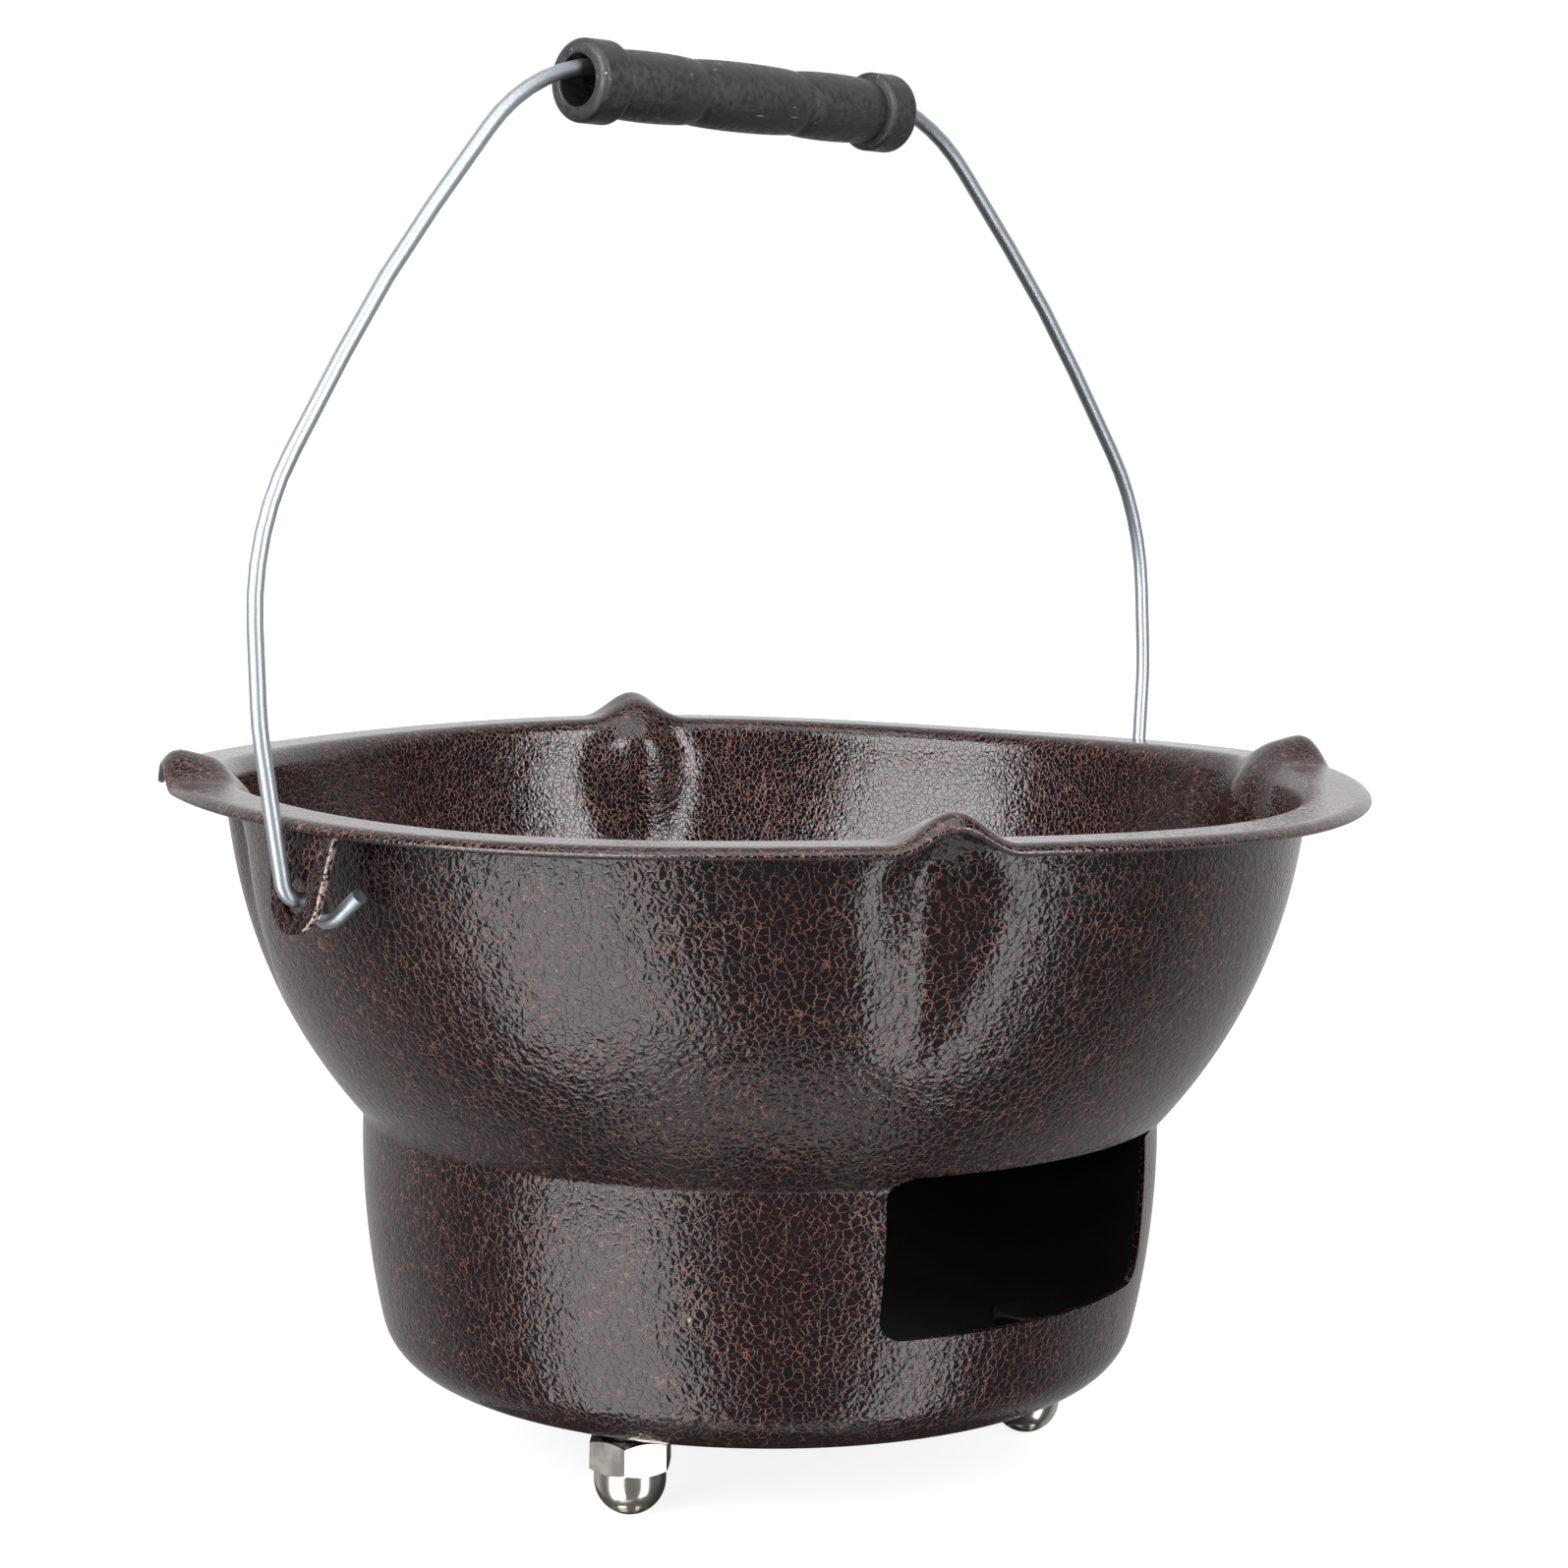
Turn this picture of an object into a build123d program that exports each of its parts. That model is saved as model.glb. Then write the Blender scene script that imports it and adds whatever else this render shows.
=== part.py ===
from build123d import *
from math import atan2, cos, hypot, pi, radians, sin, sqrt, tan
import os

# Charcoal camp stove with a carrying bail. Millimetres, +Z up.
# Origin: on the ground, under the middle of the bowl. The air inlet faces -Y.
# The bail turns about a line along X, through the two ears.

# Pressed body
SHEET = 1.6
RIM_RADIUS = 140.0
RIM_EDGE_ROUND = 0.6
RIM_EDGE_CHAMFER = 0.5
BODY_HEIGHT = 140.5
FLANGE_WIDTH = 14.5
BOWL_CENTRE_ABOVE_RIM = 6.0
FLANGE_BEND = 3.0
WAIST_BEND = 2.4
BASE_RADIUS = 93.3
BASE_BARREL_RADIUS = 197.0
BASE_BARREL_ANGLE = 12.6
CORNER_RADIUS = 14.0
CORNER_ANGLE = 72.4
BEVEL_LENGTH = 7.1
CROWN_RADIUS = 21.0

# Air inlet, punched straight along Y
INLET_WIDTH = 83.0
INLET_HEIGHT = 36.3
INLET_TOP_BELOW_RIM = 75.0
INLET_OFFSET = -4.0
INLET_CORNER = 5.5

# Pot ribs: each is pressed up through the flange and in through the bowl wall
RIB_COUNT = 4
RIB_FIRST_ANGLE = -30.0
RIB_HEIGHT = 7.4
RIB_LIP_ROUND = 11.4
RIB_LIP_OVERRUN = 4.0
RIB_FLAT_INSET = 10.0
RIB_FLAT_DROP = 5.7
RIB_FLAT_ROUND = 9.5
RIB_SHOULDER_INSET = 15.2
RIB_SHOULDER_DROP = 9.2
RIB_SHOULDER_ROUND = 8.3
RIB_WAIST_INSET = 19.7
RIB_WAIST_DROP = 30.0
RIB_WAIST_ROUND = 5.2
RIB_TIP_DROP = 50.0
RIB_TIP_OUTSET = 1.2
RIB_TIP_ROUND = 2.1

# Feet: a hexagon bolt from inside, a washer and a domed cap nut
FOOT_COUNT = 3
FOOT_INSET = 28.3
FOOT_FIRST_ANGLE = -161.0
THREAD_RADIUS = 5.0
THREAD_CLEARANCE = 0.05
BOLT_HOLE_CLEARANCE = 0.25
NUT_FLATS = 17.0
NUT_HEX_HEIGHT = 8.0
NUT_HEIGHT = 18.0
NUT_DOME_RADIUS = 8.0
NUT_TURN = 20.5
NUT_BORE_DEPTH = 13.0
NUT_TIP_FLAT = 0.25
NUT_CHAMFER = 1.1
BOLT_FLATS = 16.0
BOLT_HEAD_HEIGHT = 6.4
BOLT_HEAD_CHAMFER = 0.8
BOLT_END_GAP = 1.0
WASHER_RADIUS = 9.0
WASHER_THICKNESS = 1.6
SEAT_RADIUS = 9.5
SEAT_HEIGHT = 1.9

# Ears that carry the bail
EAR_INSET = 4.8
EAR_SHEET = 1.6
EAR_TOP_WIDTH = 22.0
EAR_LOBE_RADIUS = 7.9
EAR_HOLE_RADIUS = 3.0

# Bail wire, in its own upright plane: heights are measured up from its pivot line,
# and OUT and IN are measured along X from the middle of the ear's sheet
WIRE_RADIUS = 1.75
WIRE_SEAT_GAP = 0.3
PIVOT_BELOW_RIM = 17.0
BAIL_LEAN = 3.7
BAIL_HEIGHT = 177.0
BAIL_SIDE_OUT = 10.0
TOP_CORNER_X = 62.0
TOP_BEND = 42.0
SLOPE_IN = 27.2
SLOPE_Z = 128.7
SLOPE_BEND = 300.0
SHOULDER_Z = 76.0
SHOULDER_BEND = 70.0
LEG_KNEE_Z = 36.0
LEG_KNEE_BEND = 70.0
LEG_RIM_OUT = 7.2
LEG_RIM_Z = 16.0
LEG_RIM_BEND = 40.0
LEG_FOOT_OUT = 4.7
EYE_BEND = 4.0
HOOK_IN = 3.4
HOOK_BEND = 2.6
HOOK_LOW_IN = 4.0
HOOK_LOW_Y = 1.0
HOOK_LOW_Z = -6.7
HOOK_LOW_BEND = 1.9
HOOK_TIP_IN = 5.4
HOOK_TIP_Y = -12.4
HOOK_TIP_Z = 2.3
BEND_SHARE = 0.7
STRAIGHT_BETWEEN_BENDS = 0.1

# Hand grip, a tube that hangs on the wire
GRIP_LENGTH = 103.0
GRIP_COLLAR_RADIUS = 9.3
GRIP_COLLAR_LENGTH = 8.8
GRIP_COLLAR_ROUND = 1.8
GRIP_NECK_RADIUS = 7.15
GRIP_LOBE_RADIUS = 7.95
GRIP_NECK_X = 17.0
GRIP_BORE_RADIUS = 5.75

# Charcoal grate, a loose casting that sits above the waist
GRATE_OVERHANG = 1.7
GRATE_THICKNESS = 6.0
GRATE_SEAT_GAP = 0.3
GRATE_RING_WIDTH = 11.0
GRATE_SLOT_WIDTH = 8.0
GRATE_BAR_WIDTH = 8.0
GRATE_CROSS_WIDTH = 9.0
GRATE_EDGE_ROUND = 1.2

# Sizes that follow from the ones above
BOWL_RADIUS = RIM_RADIUS - FLANGE_WIDTH
EAR_DISTANCE = RIM_RADIUS - EAR_INSET
FOOT_CIRCLE_RADIUS = BASE_RADIUS - FOOT_INSET
GRATE_RADIUS = BASE_RADIUS + GRATE_OVERHANG

# Heights of the main levels above the ground
FLOOR_Z = NUT_HEIGHT
RIM_Z = FLOOR_Z + BODY_HEIGHT
FLANGE_UNDER_Z = RIM_Z - SHEET
PIVOT_Z = RIM_Z - PIVOT_BELOW_RIM
BOWL_CENTRE = (0.0, RIM_Z + BOWL_CENTRE_ABOVE_RIM)


def along(centre, radius, angle):
    """Point at a radius from a centre, its angle measured down from horizontal."""
    return (centre[0] + radius * cos(radians(angle)), centre[1] - radius * sin(radians(angle)))


def base_centres():
    """Centres of the barrel, corner and crown arcs of the base, as (radius, height)."""
    barrel = (BASE_RADIUS - BASE_BARREL_RADIUS, 0.0)
    corner = along(barrel, BASE_BARREL_RADIUS - CORNER_RADIUS, BASE_BARREL_ANGLE)
    corner_end = along(corner, CORNER_RADIUS, CORNER_ANGLE)
    bevel_x = corner_end[0] - BEVEL_LENGTH * sin(radians(CORNER_ANGLE))
    bevel_z = corner_end[1] - BEVEL_LENGTH * cos(radians(CORNER_ANGLE))
    crown = along((bevel_x, bevel_z), -CROWN_RADIUS, CORNER_ANGLE)
    lift = FLOOR_Z + CROWN_RADIUS - crown[1]
    return [(x, z + lift) for x, z in (barrel, corner, crown)]


BARREL_CENTRE, CORNER_CENTRE, CROWN_CENTRE = base_centres()


def bowl_radius_at(height, inset):
    """Radius of the bowl's skin at a height; inset is the depth into the sheet."""
    return sqrt((BOWL_RADIUS - inset) ** 2 - (BOWL_CENTRE[1] - height) ** 2)


def waist_point(inset):
    """Where the bowl's arc meets the barrel arc of the base."""
    bowl, barrel = BOWL_RADIUS - inset, BASE_BARREL_RADIUS - inset
    dx, dz = BARREL_CENTRE[0] - BOWL_CENTRE[0], BARREL_CENTRE[1] - BOWL_CENTRE[1]
    gap = hypot(dx, dz)
    share = (bowl**2 - barrel**2 + gap**2) / (2 * gap)
    side = sqrt(bowl**2 - share**2)
    mid = (BOWL_CENTRE[0] + share * dx / gap, BOWL_CENTRE[1] + share * dz / gap)
    return (mid[0] - side * dz / gap, mid[1] + side * dx / gap)


def arc(centre, radius, start, end):
    """Arc in the XZ plane between two points that lie at the radius from the centre."""
    mid = ((start[0] + end[0]) / 2 - centre[0], (start[1] + end[1]) / 2 - centre[1])
    scale = radius / hypot(*mid)
    middle = (centre[0] + mid[0] * scale, centre[1] + mid[1] * scale)
    return ThreePointArc(start, middle, end)


def skin(inset, top_z):
    """Edges of one skin of the body, from the axis at the bottom up to top_z."""
    crown, corner = CROWN_RADIUS - inset, CORNER_RADIUS - inset
    barrel, bowl = BASE_BARREL_RADIUS - inset, BOWL_RADIUS - inset
    floor_start = (0.0, FLOOR_Z + inset)
    floor_end = (CROWN_CENTRE[0], FLOOR_Z + inset)
    crown_end = along(CROWN_CENTRE, crown, CORNER_ANGLE)
    corner_start = along(CORNER_CENTRE, corner, CORNER_ANGLE)
    corner_end = along(CORNER_CENTRE, corner, BASE_BARREL_ANGLE)
    waist = waist_point(inset)
    top = (bowl_radius_at(top_z, inset), top_z)
    return [
        Line(floor_start, floor_end),
        arc(CROWN_CENTRE, crown, floor_end, crown_end),
        Line(crown_end, corner_start),
        arc(CORNER_CENTRE, corner, corner_start, corner_end),
        arc(BARREL_CENTRE, barrel, corner_end, waist),
        arc(BOWL_CENTRE, bowl, waist, top),
    ]


def rounded(face, point, radius):
    """Face with the corner nearest to a point rounded."""
    near = face.vertices().sort_by_distance(Vector(*point))[0]
    return fillet(near, radius)


def outer_outline():
    """Half outline of all that lies inside the outer skin, or above the flange's underside."""
    outer = skin(0.0, FLANGE_UNDER_Z)
    top = outer[-1] @ 1
    ceiling = RIM_Z + 3 * RIB_HEIGHT
    edge = Polyline(top, (RIM_RADIUS, FLANGE_UNDER_Z), (RIM_RADIUS, ceiling), (0, ceiling), (0, FLOOR_Z))
    face = make_face(outer + edge.edges())
    face = rounded(face, top, FLANGE_BEND)
    face = rounded(face, waist_point(0.0), WAIST_BEND)
    return rounded(face, (RIM_RADIUS, FLANGE_UNDER_Z), RIM_EDGE_ROUND)


def inner_outline():
    """Half outline of all that lies inside the inner skin, or above the top of the flange."""
    inner = skin(SHEET, RIM_Z)
    top = inner[-1] @ 1
    ceiling = RIM_Z + 4 * RIB_HEIGHT
    outside = RIM_RADIUS + RIB_HEIGHT
    lip_z = RIM_Z - 2 * RIM_EDGE_CHAMFER
    lip_start = (RIM_RADIUS - RIM_EDGE_CHAMFER, RIM_Z)
    lip_end = (RIM_RADIUS + RIM_EDGE_CHAMFER, lip_z)
    lip = [lip_start, lip_end, (outside, lip_z), (outside, ceiling)]
    edge = Polyline(top, *lip, (0, ceiling), (0, FLOOR_Z + SHEET))
    face = make_face(inner + edge.edges())
    face = rounded(face, top, FLANGE_BEND + SHEET)
    return rounded(face, waist_point(SHEET), WAIST_BEND + SHEET)


def rib_stations():
    """Centres (radius, height) and radii of a rib's outer round, from the lip down to its tip."""
    lip = (RIM_RADIUS + RIB_LIP_OVERRUN, RIM_Z + RIB_HEIGHT - RIB_LIP_ROUND)
    flat = (RIM_RADIUS - RIB_FLAT_INSET, RIM_Z - RIB_FLAT_DROP)
    shoulder = (RIM_RADIUS - RIB_SHOULDER_INSET, RIM_Z - RIB_SHOULDER_DROP)
    waist = (RIM_RADIUS - RIB_WAIST_INSET, RIM_Z - RIB_WAIST_DROP)
    tip_z = RIM_Z - RIB_TIP_DROP
    tip = (bowl_radius_at(tip_z, 0.0) + RIB_TIP_OUTSET, tip_z)
    radii = (RIB_LIP_ROUND, RIB_FLAT_ROUND, RIB_SHOULDER_ROUND, RIB_WAIST_ROUND, RIB_TIP_ROUND)
    return list(zip((lip, flat, shoulder, waist, tip), radii))


def between(near, far):
    """Unit direction from one point of the XZ plane to another."""
    span = hypot(far[0] - near[0], far[1] - near[1])
    return ((far[0] - near[0]) / span, (far[1] - near[1]) / span)


def rib_round(inset):
    """The round of one rib, on the +X side, made smaller by the inset."""
    stations = rib_stations()
    places = [centre for centre, _ in stations]
    runs = [between(near, far) for near, far in zip(places, places[1:])]
    runs = [runs[0]] + runs + [runs[-1]]
    sections = []
    for (centre, radius), before, after in zip(stations, runs, runs[1:]):
        across = (before[0] + after[0], 0, before[1] + after[1])
        place = Plane((centre[0], 0, centre[1]), x_dir=(0, 1, 0), z_dir=across)
        sections.append(place * Circle(radius - inset))
    return loft(sections, ruled=True)


def rib_angles():
    """Angles of the ribs about Z."""
    return [RIB_FIRST_ANGLE + index * 360.0 / RIB_COUNT for index in range(RIB_COUNT)]


def foot_places():
    """Places of the feet on their circle."""
    angles = [FOOT_FIRST_ANGLE + index * 360.0 / FOOT_COUNT for index in range(FOOT_COUNT)]
    return [
        (FOOT_CIRCLE_RADIUS * cos(radians(angle)), FOOT_CIRCLE_RADIUS * sin(radians(angle)), angle)
        for angle in angles
    ]


def inlet_cutter():
    """Rounded block that punches the air inlet through the front of the base."""
    middle_z = RIM_Z - INLET_TOP_BELOW_RIM - INLET_HEIGHT / 2
    outline = RectangleRounded(INLET_WIDTH, INLET_HEIGHT, INLET_CORNER)
    start = Plane((INLET_OFFSET, -BASE_RADIUS / 2, middle_z), x_dir=(1, 0, 0), z_dir=(0, -1, 0))
    return extrude(start * outline, BASE_RADIUS)


def body_sector():
    """One sector of the body, with its rib on the +X side."""
    share = 360.0 / RIB_COUNT
    outside = Rotation(0, 0, -share / 2) * revolve(Plane.XZ * outer_outline(), Axis.Z, share)
    hollow = Rotation(0, 0, 180) * revolve(Plane.XZ * inner_outline(), Axis.Z)
    outside = outside - rib_round(SHEET)
    hollow = hollow - rib_round(0.0)
    return outside - hollow


def foot_seats():
    """Raised seats for the bolt heads, with the bolt holes still to be drilled."""
    up = (Align.CENTER, Align.CENTER, Align.MIN)
    seat = Cylinder(SEAT_RADIUS, SHEET / 2 + SEAT_HEIGHT, align=up)
    return [Pos(x, y, FLOOR_Z + SHEET / 2) * seat for x, y, _ in foot_places()]


def foot_holes():
    """Drills for the bolt holes."""
    drill = Cylinder(THREAD_RADIUS + BOLT_HOLE_CLEARANCE, 4 * (SHEET + SEAT_HEIGHT))
    return [Pos(x, y, FLOOR_Z) * drill for x, y, _ in foot_places()]


def stove_body():
    """Body: bowl, flange, pot ribs and base in one piece, with the air inlet and bolt holes."""
    sector = body_sector()
    sectors = [Rotation(0, 0, angle) * sector for angle in rib_angles()]
    body = sectors[0]
    for piece in sectors[1:] + foot_seats():
        body = body + piece
    for drill in foot_holes():
        body = body - drill
    return body - inlet_cutter()


def ear(side):
    """Ear plate under the flange; side is +1 or -1 along X."""
    hole_y, hole_z = 0.0, PIVOT_Z - WIRE_RADIUS - WIRE_SEAT_GAP + EAR_HOLE_RADIUS
    drop = FLANGE_UNDER_Z - hole_z
    half = EAR_TOP_WIDTH / 2
    reach = hypot(half, drop)
    lean = atan2(half, drop) - pi / 2 + atan2(sqrt(reach**2 - EAR_LOBE_RADIUS**2), EAR_LOBE_RADIUS)
    touch_y, touch_z = EAR_LOBE_RADIUS * sin(pi / 2 - lean), -EAR_LOBE_RADIUS * sin(lean)
    outline = [
        Line((-half, drop), (half, drop)),
        Line((half, drop), (touch_y, -touch_z)),
        ThreePointArc((touch_y, -touch_z), (0.0, -EAR_LOBE_RADIUS), (-touch_y, -touch_z)),
        Line((-touch_y, -touch_z), (-half, drop)),
    ]
    plate = make_face(outline) - Circle(EAR_HOLE_RADIUS)
    inner = EAR_DISTANCE - EAR_SHEET / 2
    face_plane = Plane((side * inner, hole_y, hole_z), x_dir=(0, side, 0), z_dir=(side, 0, 0))
    return extrude(face_plane * plate, EAR_SHEET)


def bail_half_points():
    """Corner points of the +X half of the wire's centre line, from the top to the hook's tip."""
    return [
        (TOP_CORNER_X, 0.0, BAIL_HEIGHT),
        (EAR_DISTANCE - SLOPE_IN, 0.0, SLOPE_Z),
        (EAR_DISTANCE + BAIL_SIDE_OUT, 0.0, SHOULDER_Z),
        (EAR_DISTANCE + BAIL_SIDE_OUT, 0.0, LEG_KNEE_Z),
        (EAR_DISTANCE + LEG_RIM_OUT, 0.0, LEG_RIM_Z),
        (EAR_DISTANCE + LEG_FOOT_OUT, 0.0, 0.0),
        (EAR_DISTANCE - HOOK_IN, 0.0, 0.0),
        (EAR_DISTANCE - HOOK_LOW_IN, HOOK_LOW_Y, HOOK_LOW_Z),
        (EAR_DISTANCE - HOOK_TIP_IN, HOOK_TIP_Y, HOOK_TIP_Z),
    ]


def bail_bends():
    """Bend radii that go with the corner points, each limited by the straight runs beside it."""
    arch = [TOP_BEND, SLOPE_BEND, SHOULDER_BEND]
    leg = [LEG_KNEE_BEND, LEG_RIM_BEND]
    wanted = arch + leg + [EYE_BEND, HOOK_BEND, HOOK_LOW_BEND]
    points = [Vector(0.0, 0.0, BAIL_HEIGHT)] + [Vector(*point) for point in bail_half_points()]
    taken = 0.0
    bends = []
    for before, corner, after, bend in zip(points, points[1:], points[2:], wanted):
        into, onward = corner - before, after - corner
        half_turn = tan(radians(into.get_angle(onward)) / 2)
        room = min(into.length - taken - STRAIGHT_BETWEEN_BENDS, BEND_SHARE * onward.length)
        bends.append(min(bend, room / half_turn))
        taken = bends[-1] * half_turn
    return bends


def upright_to_place():
    """Move from the bail's own upright plane to its leaning place on the ears."""
    return Pos(0, 0, PIVOT_Z) * Rotation(-BAIL_LEAN, 0, 0)


def bail_wire():
    """Round wire bent to the arch, the two legs, the eyes and the hooked ends."""
    right = bail_half_points()
    left = [(-x, y, z) for x, y, z in right]
    points = left[::-1] + right
    bends = bail_bends()[::-1] + bail_bends()
    path = FilletPolyline(*points, radius=bends)
    start = Plane(origin=path @ 0, z_dir=path % 0)
    wire = sweep(start * Circle(WIRE_RADIUS), path=path)
    expected = path.length * pi * WIRE_RADIUS**2
    print(f"wire length {path.length:.1f}, volume over section times length {wire.volume / expected:.4f}")
    return upright_to_place() * wire


def grip_axis_z():
    """Height of the grip's own axis above the pivot line."""
    return BAIL_HEIGHT - (GRIP_BORE_RADIUS - WIRE_RADIUS - WIRE_SEAT_GAP)


def hand_grip():
    """Moulded tube with two collars and three finger lobes."""
    half = GRIP_LENGTH / 2
    collar = half - GRIP_COLLAR_LENGTH
    lobes = [(-collar, -GRIP_NECK_X), (-GRIP_NECK_X, GRIP_NECK_X), (GRIP_NECK_X, collar)]
    outline = [
        Line((-half, GRIP_BORE_RADIUS), (-half, GRIP_COLLAR_RADIUS)),
        Line((-half, GRIP_COLLAR_RADIUS), (-collar, GRIP_COLLAR_RADIUS)),
        Line((-collar, GRIP_COLLAR_RADIUS), (-collar, GRIP_NECK_RADIUS)),
    ]
    for start, end in lobes:
        middle = ((start + end) / 2, GRIP_LOBE_RADIUS)
        outline.append(ThreePointArc((start, GRIP_NECK_RADIUS), middle, (end, GRIP_NECK_RADIUS)))
    outline += [
        Line((collar, GRIP_NECK_RADIUS), (collar, GRIP_COLLAR_RADIUS)),
        Line((collar, GRIP_COLLAR_RADIUS), (half, GRIP_COLLAR_RADIUS)),
        Line((half, GRIP_COLLAR_RADIUS), (half, GRIP_BORE_RADIUS)),
        Line((half, GRIP_BORE_RADIUS), (-half, GRIP_BORE_RADIUS)),
    ]
    face = make_face(outline)
    for end in (-half, half):
        face = rounded(face, (end, GRIP_COLLAR_RADIUS), GRIP_COLLAR_ROUND)
    tube = revolve(Plane.XZ * face, Axis.X)
    return upright_to_place() * Pos(0, 0, grip_axis_z()) * tube


def grate_bottom_z():
    """Height of the grate's underside when its rounded edge sits on the bowl, less its seat gap."""
    reach = BOWL_RADIUS - SHEET - GRATE_SEAT_GAP - GRATE_EDGE_ROUND
    drop = sqrt(reach**2 - (GRATE_RADIUS - GRATE_EDGE_ROUND) ** 2)
    return BOWL_CENTRE[1] - drop - GRATE_EDGE_ROUND


def charcoal_grate():
    """Round cast grate: a ring with parallel bars, and one bar across them."""
    bottom = (Align.CENTER, Align.CENTER, Align.MIN)
    plate = Cylinder(GRATE_RADIUS, GRATE_THICKNESS, align=bottom)
    plate = fillet(plate.edges().filter_by(GeomType.CIRCLE), GRATE_EDGE_ROUND)
    inner = GRATE_RADIUS - GRATE_RING_WIDTH
    pitch = GRATE_SLOT_WIDTH + GRATE_BAR_WIDTH
    rows = int((inner - GRATE_SLOT_WIDTH) // pitch)
    for row in range(-rows, rows + 1):
        offset = row * pitch
        edge = abs(offset) + GRATE_SLOT_WIDTH / 2
        end = sqrt(inner**2 - edge**2) - GRATE_SLOT_WIDTH / 2
        start = GRATE_CROSS_WIDTH / 2
        length = end - start
        if length < 2 * GRATE_SLOT_WIDTH:
            continue
        for sign in (-1, 1):
            slot = Box(GRATE_SLOT_WIDTH, length, 3 * GRATE_THICKNESS)
            slot = fillet(slot.edges().filter_by(Axis.Z), GRATE_SLOT_WIDTH / 2.01)
            plate = plate - Pos(offset, sign * (start + length / 2), 0) * slot
    return Pos(0, 0, grate_bottom_z()) * plate


def hexagon(flats, height, chamfer, ends):
    """Hexagon bar with its corners turned off at the named ends, standing on Z = 0."""
    bar = extrude(RegularPolygon(flats / 2, 6, major_radius=False), height)
    corner = flats / 2 / cos(radians(30))
    drop = (corner - flats / 2 + chamfer / 2) * tan(radians(30))
    outline = [(0, 0), (flats / 2 - chamfer / 2, 0), (corner, drop), (corner, height - drop)]
    outline += [(flats / 2 - chamfer / 2, height), (0, height)]
    if "low" not in ends:
        outline[1:3] = [(corner, 0)]
    if "high" not in ends:
        outline[-3:-1] = [(corner, height)]
    return bar & revolve(Plane.XZ * make_face(Polyline(*outline, close=True)), Axis.Z)


def cap_nut():
    """Domed cap nut, dome down, with its open face at Z = NUT_HEIGHT."""
    shoulder = NUT_HEIGHT - NUT_HEX_HEIGHT
    dome_z = NUT_DOME_RADIUS - NUT_TIP_FLAT
    upwards = (Align.CENTER, Align.CENTER, Align.MIN)
    downwards = (Align.CENTER, Align.CENTER, Align.MAX)
    hexagon_part = Pos(0, 0, shoulder) * hexagon(NUT_FLATS, NUT_HEX_HEIGHT, NUT_CHAMFER, ("low", "high"))
    dome = Pos(0, 0, dome_z) * Sphere(NUT_DOME_RADIUS)
    neck = Pos(0, 0, dome_z) * Cylinder(NUT_DOME_RADIUS, shoulder - dome_z, align=upwards)
    wide = 4 * NUT_DOME_RADIUS
    below_ground = Box(wide, wide, wide, align=downwards)
    bore = Cylinder(THREAD_RADIUS + THREAD_CLEARANCE, NUT_BORE_DEPTH, align=downwards)
    return dome + neck + hexagon_part - below_ground - Pos(0, 0, NUT_HEIGHT) * bore


def foot_washer():
    """Plain washer between the bolt head and its seat."""
    disc = Circle(WASHER_RADIUS) - Circle(THREAD_RADIUS + BOLT_HOLE_CLEARANCE)
    return extrude(disc, WASHER_THICKNESS)


def foot_bolt():
    """Hexagon bolt, its head's underside at Z = 0 and its shank below."""
    head = hexagon(BOLT_FLATS, BOLT_HEAD_HEIGHT, BOLT_HEAD_CHAMFER, ("high",))
    shank_length = WASHER_THICKNESS + SEAT_HEIGHT + SHEET + NUT_BORE_DEPTH - BOLT_END_GAP
    shank = Cylinder(THREAD_RADIUS, shank_length, align=(Align.CENTER, Align.CENTER, Align.MAX))
    shank = chamfer(shank.edges().sort_by(Axis.Z)[0], THREAD_RADIUS / 6)
    return head + shank


def build_parts():
    """All sub-parts by node name."""
    parts = {
        "stove_body": stove_body(),
        "ear_left": ear(-1),
        "ear_right": ear(1),
        "bail_wire": bail_wire(),
        "hand_grip": hand_grip(),
        "charcoal_grate": charcoal_grate(),
    }
    seat_z = FLOOR_Z + SHEET + SEAT_HEIGHT
    for number, (x, y, angle) in enumerate(foot_places(), start=1):
        turn = Rotation(0, 0, angle + NUT_TURN)
        parts[f"foot_cap_nut_{number}"] = Pos(x, y, FLOOR_Z - NUT_HEIGHT) * turn * cap_nut()
        parts[f"foot_washer_{number}"] = Pos(x, y, seat_z) * foot_washer()
        parts[f"foot_bolt_{number}"] = Pos(x, y, seat_z + WASHER_THICKNESS) * turn * foot_bolt()
    return parts


os.makedirs("parts", exist_ok=True)
for node, shape in build_parts().items():
    export_step(shape, f"parts/{node}.step")
    print(node, round(shape.volume, 1))
print("rim", RIM_Z, "pivot", PIVOT_Z, "grip axis", PIVOT_Z + grip_axis_z() * cos(radians(BAIL_LEAN)))
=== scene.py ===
"""Looks of a charcoal camp stove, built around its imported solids."""

import logging
import math
from contextlib import contextmanager
from dataclasses import dataclass
from enum import Enum
from typing import Iterator, Sequence

import bpy
import numpy as np
from mathutils import Matrix, Quaternion, Vector

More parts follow.
